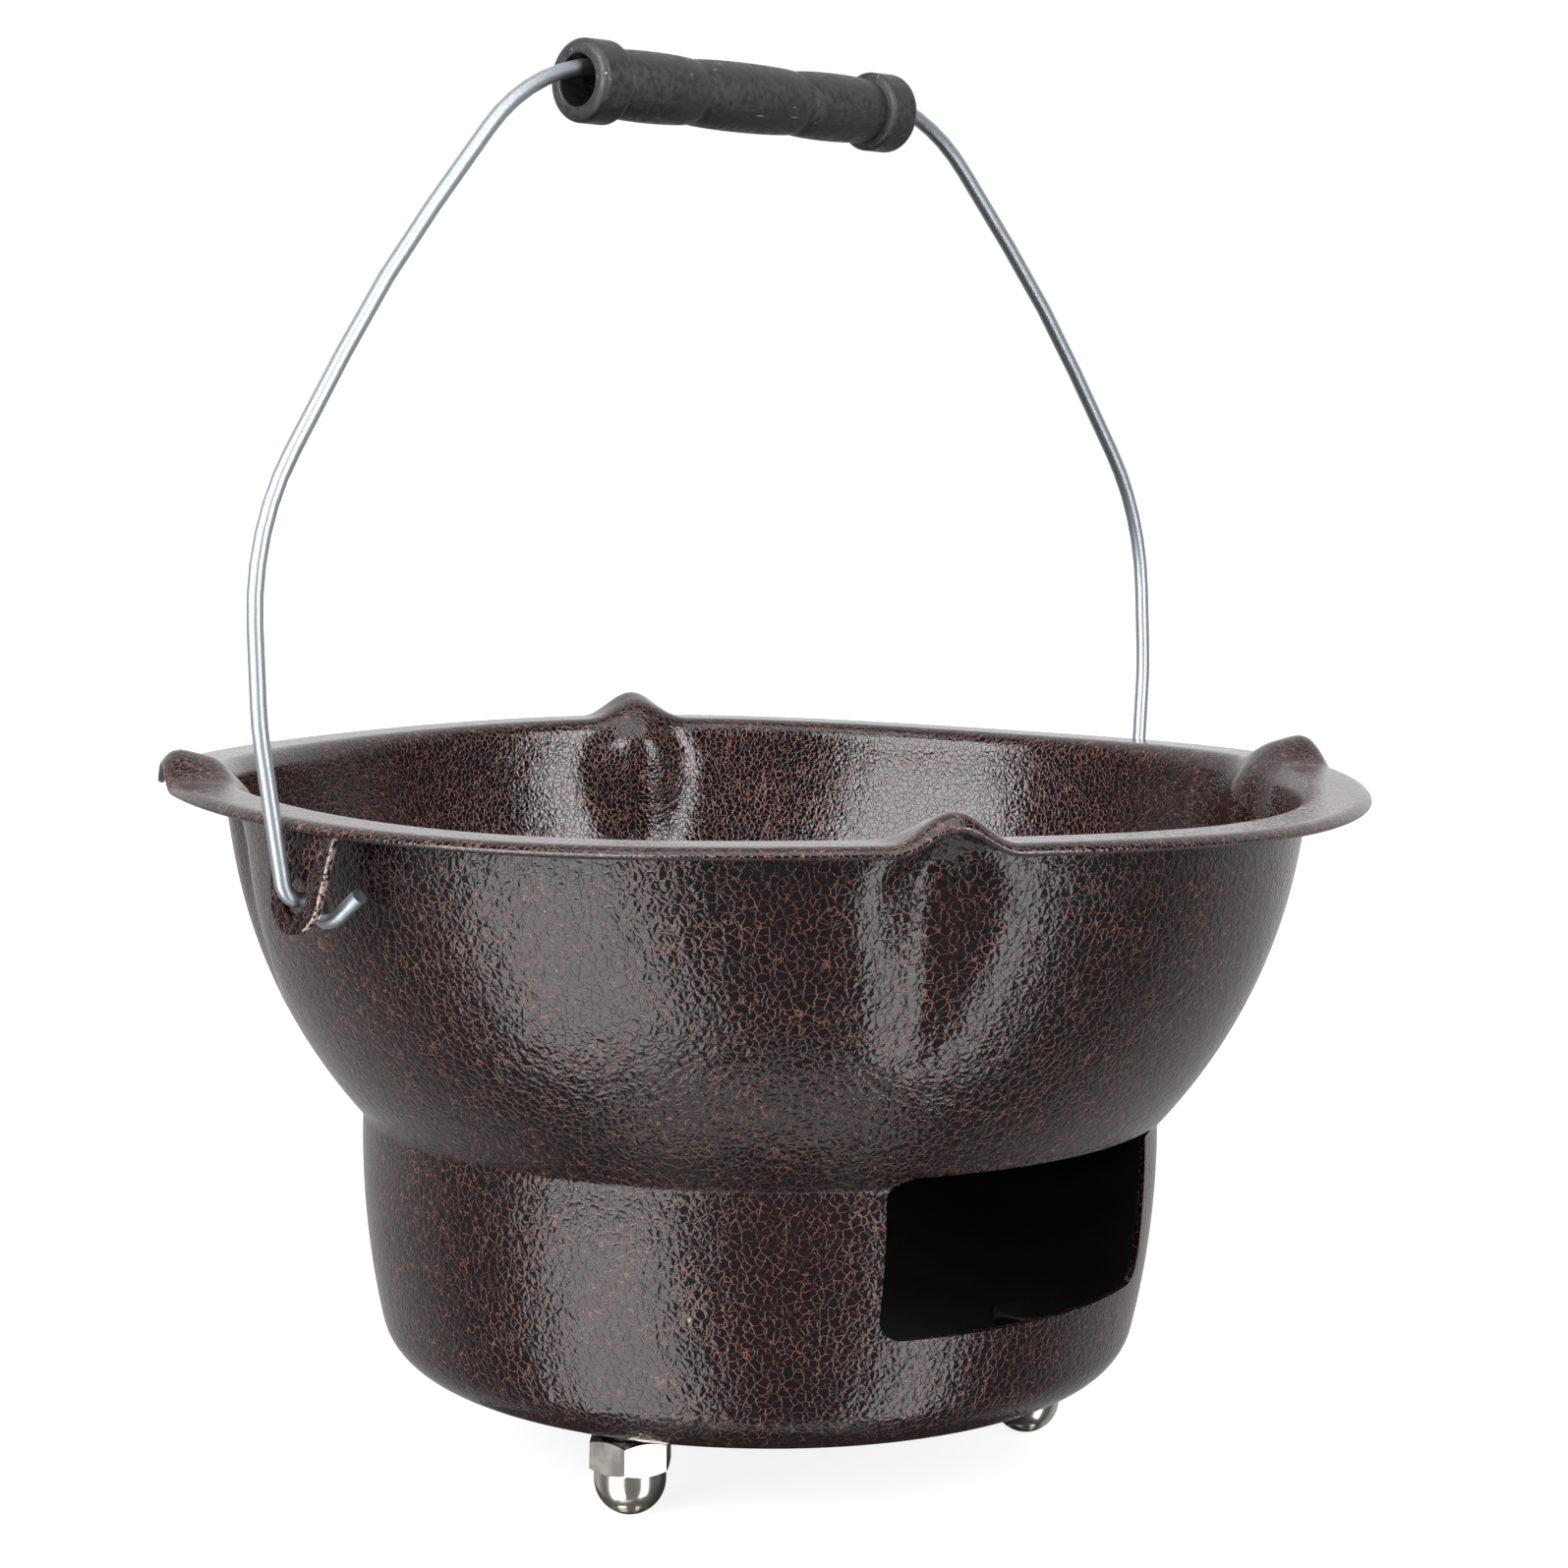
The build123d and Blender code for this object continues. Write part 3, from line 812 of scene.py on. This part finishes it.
@dataclass
class PressedBody:
    """Bowl, flange, pot ribs and base, pressed from one sheet. Sizes in millimetres, angles in degrees.

    A rib's crest has corners (radius, height above the flange) and a radius for each inner one. Its width
    is a share of rib_spread that changes along the rib. Its section turns from a smooth step into a bell.
    """

    sheet: float = 1.6
    rim_radius: float = 139.93
    lip_curl: float = 3.2
    lip_angle: float = 22.0
    lip_round: float = 0.55
    floor_z: float = 18.0
    height: float = 140.5
    bowl_radius: float = 125.5
    bowl_above_rim: float = 6.0
    flange_bend: float = 3.0
    waist_bend: float = 2.4
    base_radius: float = 93.3
    barrel_radius: float = 197.0
    barrel_angle: float = 12.6
    corner_radius: float = 14.0
    corner_angle: float = 72.4
    bevel_length: float = 7.1
    crown_radius: float = 21.0
    floor_hub: float = 2.0
    inlet_width: float = 83.0
    inlet_height: float = 36.3
    inlet_below_rim: float = 75.0
    inlet_offset: float = -4.0
    inlet_corner: float = 5.5
    inlet_reach: float = 100.0
    ribs: int = 4
    rib_angle: float = -30.0
    crest_corners: tuple[Point2, ...] = (
        (139.9, 3.2),
        (137.0, 6.9),
        (127.0, 4.3),
        (118.4, -5.0),
        (116.6, -30.0),
        (111.2, -49.0),
    )
    crest_radii: tuple[float, ...] = (4.0, 8.0, 7.0, 60.0)
    rib_flat: float = 0.3
    rib_spread: float = 12.8
    rib_widths: tuple[Point2, ...] = ((0.0, 1.0), (0.2, 1.05), (0.45, 1.4), (1.0, 0.7))
    bell_width: float = 0.6
    bell_start: float = 0.12
    bell_full: float = 0.4
    lift: float = 0.4
    wave: float = 0.7
    wave_depth: float = 40.0
    columns: int = 480
    spacing: Spacing = Spacing()

    @property
    def rim_z(self) -> float:
        """Height of the flange's top."""
        return self.floor_z + self.height

    def skin(self) -> list[Point2]:
        """Inner skin from the lip to the axis.

        Returns:
            Points as (radius, height).
        """
        s, gap = self.sheet, self.spacing
        bowl, barrel_r = (0.0, self.rim_z + self.bowl_above_rim), self.barrel_radius
        barrel = (self.base_radius - barrel_r, 0.0)
        corner = polar(barrel, barrel_r - self.corner_radius, -self.barrel_angle)
        end = polar(corner, self.corner_radius, -self.corner_angle)
        end = polar(end, self.bevel_length, -90.0 - self.corner_angle)
        crown = polar(end, -self.crown_radius, -self.corner_angle)
        lift = self.floor_z + self.crown_radius - crown[1]
        barrel, corner, crown = [(x, z + lift) for x, z in (barrel, corner, crown)]
        bowl_r, barrel_r = self.bowl_radius - s, self.barrel_radius - s
        bend_r, waist_r = self.flange_bend + s, self.waist_bend + s
        bend_z = self.rim_z - bend_r
        bend = (math.sqrt((bowl_r + bend_r) ** 2 - (bowl[1] - bend_z) ** 2), bend_z)
        waist = crossing(bowl, bowl_r + waist_r, barrel, barrel_r + waist_r)
        curl_x = self.rim_radius - self.lip_curl * math.cos(math.radians(self.lip_angle))
        curl = (curl_x, self.rim_z - self.lip_curl)
        corner_end = polar(corner, self.corner_radius - s, -self.corner_angle)
        crown_start = polar(crown, self.crown_radius - s, -self.corner_angle)
        inner_floor = self.floor_z + s
        return chain(
            arc(curl, self.lip_curl, self.lip_angle, 90.0, gap.lip),
            line((curl_x, self.rim_z), (bend[0], self.rim_z), gap.flange),
            arc(bend, bend_r, 90.0, angle_to(bend, bowl) % 360, gap.bend),
            arc(bowl, bowl_r, angle_to(bowl, bend), angle_to(bowl, waist), gap.bowl),
            arc(waist, waist_r, angle_to(waist, bowl) % 360, angle_to(waist, barrel) % 360, gap.waist),
            arc(barrel, barrel_r, angle_to(barrel, waist), -self.barrel_angle, gap.barrel),
            arc(corner, self.corner_radius - s, -self.barrel_angle, -self.corner_angle, gap.corner),
            line(corner_end, crown_start, gap.bevel),
            arc(crown, self.crown_radius - s, -self.corner_angle, -90.0, gap.crown),
            line((crown[0], inner_floor), (self.floor_hub, inner_floor), gap.floor),
            [(0.0, inner_floor)],
        )

    def crest(self) -> np.ndarray:
        """Line that the top of a pot rib follows, from the lip down to its tip.

        Returns:
            Array of (radius, height).
        """
        corners = [(r, self.rim_z + h) for r, h in self.crest_corners]
        return np.array(rounded(corners, self.crest_radii, self.spacing.crest))

    def press_ribs(self, obj: Object, profile: Sequence[Point2]) -> None:
        """Presses the pot ribs into the plain skin and waves the flange.

        Args:
            obj: The spun skin.
            profile: The points that it was spun from.
        """
        places = coordinates(obj) / MM
        radius = np.hypot(places[:, 0], places[:, 1])
        turn = np.arctan2(places[:, 1], places[:, 0])
        shape = np.array(profile)
        along = travelled(shape)
        gaps = (radius[:, None] - shape[:, 0]) ** 2 + (places[:, 2:] - shape[:, 1]) ** 2
        travel = along[np.argmin(gaps, axis=1)]
        crest = self.crest()
        crest_along = travelled(crest)
        wall_end = np.interp(-crest[-1, 1], -shape[:, 1], along)
        reach = np.clip(travel / wall_end, 0, 1)
        target_r, target_z = (np.interp(reach * crest_along[-1], crest_along, part) for part in crest.T)
        pitch = math.tau / self.ribs
        from_rib = (turn - math.radians(self.rib_angle) + pitch / 2) % pitch - pitch / 2
        aside = np.abs(radius * np.sin(from_rib)) / np.interp(reach, *zip(*self.rib_widths))
        bell = 1 - smooth_step(aside, self.rib_flat, self.rib_spread)
        soft = np.exp(-((aside / (self.bell_width * self.rib_spread)) ** 2))
        bell += (soft - bell) * smooth_step(reach, self.bell_start, self.bell_full)
        bell *= travel < wall_end
        radius_new = radius + (target_r - radius) * bell
        height_new = places[:, 2] + (target_z - places[:, 2]) * bell
        sway = self.lift + self.wave * np.cos(self.ribs * from_rib)
        height_new += sway * (1 - smooth_step(self.rim_z - places[:, 2], 0.0, self.wave_depth))
        moved = np.stack([radius_new * np.cos(turn), radius_new * np.sin(turn), height_new], 1)
        pole = radius < TINY
        moved[pole] = places[pole]
        move_vertices(obj, moved * MM)

    def thicken(self, obj: Object, material: Material) -> None:
        """Gives the skin its wall, and marks the points of its inner side.

        Args:
            obj: The inner skin.
            material: Material of the faces. A second slot holds the wall's rim.
        """
        inner_count = len(obj.data.vertices)
        for _ in range(2):
            obj.data.materials.append(material)
        apply_modifier(
            obj,
            "SOLIDIFY",
            thickness=self.sheet * MM,
            offset=-1.0,
            use_even_offset=True,
            material_offset_rim=1,
        )
        inside = obj.data.attributes.new("inside", "FLOAT", "POINT")
        flags = np.zeros(len(obj.data.vertices))
        flags[:inner_count] = 1.0
        inside.data.foreach_set("value", flags)

    def punch_inlet(self, obj: Object) -> None:
        """Cuts the air inlet straight through the front wall."""
        middle = self.rim_z - self.inlet_below_rim - self.inlet_height / 2
        bpy.ops.mesh.primitive_cube_add(size=1.0)
        block = bpy.context.object
        block.scale = Vector((self.inlet_width, self.inlet_reach, self.inlet_height)) * MM
        block.location = Vector((self.inlet_offset, -self.inlet_reach, middle)) * MM
        bpy.ops.object.transform_apply(location=True, rotation=True, scale=True)
        select_only(block, "edges", edge_spans(block)[:, 1] > self.inlet_reach / 2 * MM)
        bevel_selected(block, self.inlet_corner, segments=10)
        cut_out(obj, block)

    def build(self, material: Material) -> Object:
        """Models the body."""
        profile = self.skin()
        obj = spin("body_shell", profile, self.columns)
        self.press_ribs(obj, profile)
        turn_outwards(obj)
        middle = min(obj.data.polygons, key=lambda p: p.center.xy.length)
        if middle.normal.z < 0:
            obj.data.flip_normals()
        self.thicken(obj, material)
        self.punch_inlet(obj)
        marks = np.zeros(len(obj.data.polygons), dtype=np.int32)
        obj.data.polygons.foreach_get("material_index", marks)
        select_only(obj, "polygons", marks == 1)
        bevel_selected(obj, self.lip_round, segments=3, around_faces=True)
        smooth(obj)
        return finished(obj, material, Slot.HAMMERTONE, "stove", "stove_body")


def bail_place() -> Matrix:
    """Place of the leaning bail: on its pivot line, turned back from upright."""
    turn = Matrix.Rotation(math.radians(-BAIL_LEAN), 4, "X")
    return Matrix.Translation((0, 0, PIVOT_Z * MM)) @ turn


@dataclass
class HandGrip:
    """Moulded hand grip with two collars and three lobes. Sizes in millimetres."""

    length: float = 103.0
    bore_radius: float = 5.75
    bore_round: float = 0.5
    collar_radius: float = 9.28
    collar_length: float = 8.8
    collar_round: float = 1.8
    neck_radius: float = 7.15
    neck_slope: float = 0.4
    neck_round: float = 0.9
    neck_x: float = 17.0
    lobe_radius: float = 7.95
    lobe_steps: int = 24
    lobe_power: float = 0.45
    spacing: float = 0.35
    columns: int = 72
    axis_height: float = 173.3

    def profile(self) -> list[Point2]:
        """Open outline of the tube's wall, from the bore round one end to the bore at the other.

        Returns:
            Points as (radius, place along the tube).
        """
        half, collar = self.length / 2, self.length / 2 - self.collar_length
        neck = collar - self.neck_slope
        end = rounded(
            [
                (self.bore_radius, collar),
                (self.bore_radius, half),
                (self.collar_radius, half),
                (self.collar_radius, collar),
                (self.neck_radius, neck),
            ],
            [self.bore_round, self.collar_round, self.neck_round],
            self.spacing,
        )
        lobes: list[Point2] = []
        height = self.lobe_radius - self.neck_radius
        for start, stop in ((neck, self.neck_x), (self.neck_x, -self.neck_x), (-self.neck_x, -neck)):
            for i in range(self.lobe_steps + 1):
                t = i / self.lobe_steps
                bulge = math.sin(math.pi * t) ** self.lobe_power
                lobes.append((self.neck_radius + height * bulge, start + (stop - start) * t))
        other = [(r, -x) for r, x in reversed(end)]
        return chain(end, lobes, other)

    def build(self, material: Material) -> Object:
        """Models the grip in place on the wire."""
        outline = self.profile()
        obj = spin("grip_tube", outline + [outline[0]], self.columns, axis="X")
        obj.data.transform(bail_place() @ Matrix.Translation((0, 0, self.axis_height * MM)))
        smooth(obj, degrees=40)
        return finished(obj, material, Slot.PLASTIC, "grip", "hand_grip")


@dataclass
class Ear:
    """Plate under the flange that carries one end of the bail. Sizes in millimetres.

    The share of a normal that points along X tells the flat faces from their arris.
    """

    sheet: float = 1.6
    top_z: float = 157.4
    top_width: float = 22.0
    lobe_radius: float = 7.9
    hole_radius: float = 3.9
    hole_z: float = 142.45
    lean_out: float = 3.4
    arris: float = 0.3
    spacing: float = 0.8
    drill_length: float = 20.0
    drill_sides: int = 48
    # Arris in front of this place along Y gets the painted highlight
    highlight_front: float = -4.0
    flat_from: float = 0.99
    arris_to: float = 0.98

    def outline(self) -> list[Point2]:
        """Edge of the plate.

        Returns:
            Points as (place along Y, height).
        """
        half, drop = self.top_width / 2, self.top_z - self.hole_z
        reach = math.hypot(half, drop)
        side = math.degrees(math.atan2(drop, half) - math.acos(self.lobe_radius / reach))
        lobe = arc((0.0, self.hole_z), self.lobe_radius, side, -180.0 - side, self.spacing)
        return chain([(half, self.top_z)], lobe, [(-half, self.top_z)])

    def finish_faces(self, obj: Object) -> None:
        """Insets both flat faces, and marks the arris round them on its front side for the painted highlight.
        """
        flat = [abs(p.normal.x) > self.flat_from for p in obj.data.polygons]
        select_only(obj, "polygons", np.array(flat))
        with editing(obj):
            bpy.ops.mesh.select_mode(type="FACE")
            bpy.ops.mesh.inset(thickness=self.arris * MM)
        # Marks the front arris, where light catches the edge, for the painted highlight
        painted_edge_highlight = obj.data.attributes.new("painted_edge_highlight", "FLOAT", "POINT")
        front = self.highlight_front * MM
        flags = [abs(v.normal.x) < self.arris_to and v.co.y < front for v in obj.data.vertices]
        painted_edge_highlight.data.foreach_set("value", np.array(flags, dtype=float))

    def drill(self, obj: Object, x: float) -> None:
        """Drills the hole for the wire.

        Args:
            obj: The plate.
            x: Its place along X in metres.
        """
        bpy.ops.mesh.primitive_cylinder_add(
            vertices=self.drill_sides,
            radius=self.hole_radius * MM,
            depth=self.drill_length * MM,
            location=(x, 0, self.hole_z * MM),
            rotation=(0, math.pi / 2, 0),
        )
        tool = bpy.context.object
        bpy.ops.object.transform_apply(location=True, rotation=True, scale=True)
        cut_out(obj, tool)

    def build(self, side: int, material: Material) -> Object:
        """Models one ear.

        Args:
            side: 1 for the +X ear, -1 for the other.
            material: Its finish.
        """
        name = "right" if side > 0 else "left"
        x = side * (EAR_DISTANCE - self.sheet / 2) * MM
        points = [(x, y * MM, z * MM) for y, z in self.outline()]
        obj = wire_object(f"ear_plate_{name}", points, closed=True)
        across = (side * self.sheet * MM, 0, 0)
        with editing(obj):
            bpy.ops.mesh.select_all(action="SELECT")
            bpy.ops.mesh.edge_face_add()
            bpy.ops.mesh.extrude_region_move(TRANSFORM_OT_translate={"value": across})
        turn_outwards(obj)
        select_only(obj, "edges", edge_spans(obj)[:, 0] < TINY)
        bevel_selected(obj, self.arris, segments=2)
        self.finish_faces(obj)
        self.drill(obj, x)
        places = coordinates(obj)
        depth = self.top_z - self.hole_z + self.lobe_radius
        places[:, 0] += side * self.lean_out * (self.top_z * MM - places[:, 2]) / depth
        move_vertices(obj, places)
        smooth(obj, degrees=30)
        return finished(obj, material, Slot.HAMMERTONE, "stove", f"ear_{name}")


@dataclass
class BailWire:
    """Bail bent from one round wire. Heights are measured up from its pivot line, in millimetres."""

    radius: float = 1.75
    sides: int = 6
    end_round: float = 0.35

    def half(self) -> list[tuple[Vector, float]]:
        """Corners of the +X half and their bend radii, from the top to the hook's tip.

        Returns:
            Pairs of corner and radius.
        """
        e = EAR_DISTANCE
        return [
            (Vector((63.0, 0, 177.0)), 50.0),
            (Vector((e - 27.2, 0, 128.7)), 300.0),
            (Vector((e + 10.0, 0, 76.0)), 70.0),
            (Vector((e + 10.0, 0, 36.0)), 70.0),
            (Vector((e + 7.4, 0, 16.0)), 40.0),
            (Vector((e + 5.2, 0, 0)), 7.0),
            (Vector((e - 3.4, 0, 0)), 2.8),
            (Vector((e - 4.0, 0.8, -5.0)), 2.0),
            (Vector((e - 4.3, -4.2, -4.3)), 8.0),
            (Vector((e - 5.3, -11.0, 0.8)), 0.0),
        ]

    def swept(self, path: Sequence[Vector]) -> Object:
        """Round bar along a path, with flat ends.

        Args:
            path: Points in millimetres.
        """
        curve = bpy.data.curves.new("bail_bent", "CURVE")
        curve.dimensions, curve.bevel_depth, curve.bevel_resolution = "3D", self.radius * MM, self.sides
        curve.use_fill_caps = True
        spline = curve.splines.new("POLY")
        spline.points.add(len(path) - 1)
        for point, place in zip(spline.points, path):
            point.co = (*(place * MM), 1.0)
        only(placed("bail_bent", curve))
        bpy.ops.object.convert(target="MESH")
        return bpy.context.object

    def build(self, material: Material) -> Object:
        """Models the wire in its leaning place."""
        right = self.half()
        left = [(Vector((-c.x, c.y, c.z)), r) for c, r in reversed(right)]
        corners = left + right
        obj = self.swept(bent([c for c, _ in corners], [r for _, r in corners[1:-1]]))
        select_only(obj, "polygons", np.array([len(p.vertices) > 4 for p in obj.data.polygons]))
        bevel_selected(obj, self.end_round, segments=3, around_faces=True)
        turn_outwards(obj)
        obj.data.transform(bail_place())
        smooth(obj, degrees=40)
        return finished(obj, material, Slot.WIRE, "bail", "bail_wire")


# Studio


@dataclass(frozen=True)
class Lamp:
    """Softbox that faces the stove.

    Args:
        name: Name of the light.
        azimuth: Direction from the stove, in degrees from the camera's side, to the right.
        elevation: Height above the horizon in degrees.
        distance: Distance in metres.
        size: Width and height in metres.
        power: Power in watts.
    """

    name: str
    azimuth: float
    elevation: float
    distance: float
    size: tuple[float, float]
    power: float


@dataclass
class Studio:
    """Floor, lights and camera, in metres. The camera is the one that the photograph was fitted with.

    Its lens and sensor are in millimetres. To the camera the floor glows (floor_white) under its paint. To
    gloss it is darker (floor_dark), mirrors the lights a little (polish) and glows further off (far_glow).
    The world lights the stove with fill. To gloss it is dim around the camera and rises to white behind the
    stove, where the cosine between it and the line of sight reaches backdrop_edge.
    """

    place: tuple[float, float, float] = (-0.5598, -0.5432, 0.2440)
    right: tuple[float, float, float] = (0.69363, -0.72016, 0.01597)
    up: tuple[float, float, float] = (0.06968, 0.08915, 0.99358)
    lens: float = 77.07
    sensor: float = 36.0
    lamps: tuple[Lamp, ...] = (
        Lamp("left softbox", -42, 24, 1.1, (0.85, 1.0), 26),
        Lamp("right softbox", 48, 24, 1.1, (0.4, 1.0), 12.8),
        Lamp("top softbox", 0, 72, 1.2, (1.1, 0.8), 8),
    )
    aim: float = 0.12
    floor_size: float = 16.0
    floor_paint: str = "#8c8c8c"
    floor_dark: str = "#505050"
    floor_white: float = 0.84
    floor_roughness: float = 0.6
    far_glow: float = 0.3
    far_start: float = 0.3
    far_full: float = 1.0
    polish: float = 0.36
    polish_roughness: float = 0.07
    fill: float = 0.3
    dim: float = 0.09
    backdrop_edge: float = 0.5

    def camera(self) -> None:
        """Makes the camera."""
        data = bpy.data.cameras.new("camera")
        data.lens, data.sensor_width, data.clip_start = self.lens, self.sensor, 0.01
        obj = placed("camera", data)
        right, up = Vector(self.right), Vector(self.up)
        turn = Matrix((right, up, right.cross(up))).transposed().to_4x4()
        obj.matrix_world = Matrix.Translation(self.place) @ turn
        bpy.context.scene.camera = obj

    def softbox(self, lamp: Lamp) -> None:
        """Adds an area light."""
        data = bpy.data.lights.new(lamp.name, "AREA")
        data.shape, data.energy = "RECTANGLE", lamp.power
        data.size, data.size_y = lamp.size
        obj = placed(lamp.name, data)
        turn = math.atan2(self.place[1], self.place[0]) + math.radians(lamp.azimuth)
        tilt = math.radians(lamp.elevation)
        away = Vector((math.cos(turn) * math.cos(tilt), math.sin(turn) * math.cos(tilt), math.sin(tilt)))
        obj.location = Vector((0, 0, self.aim)) + away * lamp.distance
        obj.rotation_euler = away.to_track_quat("Z", "Y").to_euler()

    def floor(self) -> None:
        """Makes the floor: white with the stove's shadow for the camera, and a soft mirror for gloss."""
        bpy.ops.mesh.primitive_plane_add(size=self.floor_size)
        obj = bpy.context.object
        obj.name = "floor"
        g = Graph(bpy.data.materials.new("floor paint"))
        path = g.add("LightPath").outputs
        seen = g.maths("MAXIMUM", path["Is Camera Ray"], path["Is Glossy Ray"])
        seen = g.maths("MAXIMUM", seen, path["Is Transmission Ray"])
        away = g.add("VectorMath", {0: g.add("TexCoord").outputs["Object"]}, operation="LENGTH")
        far = g.ramp(away.outputs["Value"], self.far_start, self.far_full, 0.0, self.far_glow)
        near = g.maths("MULTIPLY", path["Is Camera Ray"], self.floor_white)
        glow = g.maths("ADD", near, g.maths("MULTIPLY", seen, far))
        paint = g.mix(path["Is Glossy Ray"], linear(self.floor_paint), linear(self.floor_dark))
        g.fill(g.shader, {"Base Color": paint, "Roughness": self.floor_roughness})
        g.fill(g.shader, {"Emission Color": (1, 1, 1, 1), "Emission Strength": glow})
        mirror = g.add("BsdfGlossy", {"Color": (1, 1, 1, 1), "Roughness": self.polish_roughness})
        share = g.maths("MULTIPLY", g.maths("SUBTRACT", 1.0, path["Is Camera Ray"]), self.polish)
        both = g.add("MixShader", {0: share, 1: g.shader.outputs[0], 2: mirror.outputs[0]})
        g.fill(g.tree.nodes["Material Output"], {"Surface": both.outputs[0]})
        obj.data.materials.append(g.owner)

    def room(self) -> None:
        """Makes the world: white where it is seen, and a dim room with a white backdrop for gloss."""
        world = bpy.data.worlds.new("studio")
        bpy.context.scene.world = world
        g = Graph(world)
        path = g.add("LightPath").outputs
        sight = Vector((-self.place[0], -self.place[1], 0)).normalized()
        direction = g.add("TexCoord").outputs["Generated"]
        behind = g.add("VectorMath", {0: direction, 1: sight}, operation="DOT_PRODUCT")
        backdrop = g.ramp(behind.outputs["Value"], 0.0, self.backdrop_edge, self.dim, 1.0)
        values = {"Factor": path["Is Glossy Ray"], 2: self.fill, 3: backdrop}
        unseen = g.add("Mix", values, data_type="FLOAT").outputs[0]
        seen = g.maths("MAXIMUM", path["Is Camera Ray"], path["Is Transmission Ray"])
        strength = g.maths("MAXIMUM", seen, unseen)
        g.fill(g.tree.nodes["Background"], {"Color": (1, 1, 1, 1), "Strength": strength})

    def build(self) -> None:
        """Makes the floor, the camera, the lights and the world."""
        self.floor()
        self.camera()
        for lamp in self.lamps:
            self.softbox(lamp)
        self.room()
        bpy.context.scene.view_settings.view_transform = "Standard"


SOLID_LOOKS = {
    "charcoal_grate": Slot.CASTING,
    "foot_bolt": Slot.BLACKENED,
    "foot_washer": Slot.BLACKENED,
    "foot_cap_nut": Slot.NICKEL,
}


def dress_solids(nodes: dict[str, Object], materials: dict[Slot, Material]) -> None:
    """Gives the solids that stay in sight their materials.

    Args:
        nodes: The solids by name.
        materials: The materials by slot.
    """
    for name, node in nodes.items():
        for start, slot in SOLID_LOOKS.items():
            if name.startswith(start):
                node.data.materials.clear()
                node.data.materials.append(materials[slot])


def main() -> None:
    """Builds the scene."""
    logging.basicConfig(level=logging.INFO, format="%(message)s")
    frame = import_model()
    nodes = frame["nodes"]
    materials = {slot: finish.build() for slot, finish in FINISHES.items()}
    PressedBody().build(materials[Slot.HAMMERTONE])
    HandGrip().build(materials[Slot.PLASTIC])
    BailWire().build(materials[Slot.WIRE])
    for side in (-1, 1):
        Ear().build(side, materials[Slot.HAMMERTONE])
    dress_solids(nodes, materials)
    Studio().build()


if __name__ == "__main__":
    main()
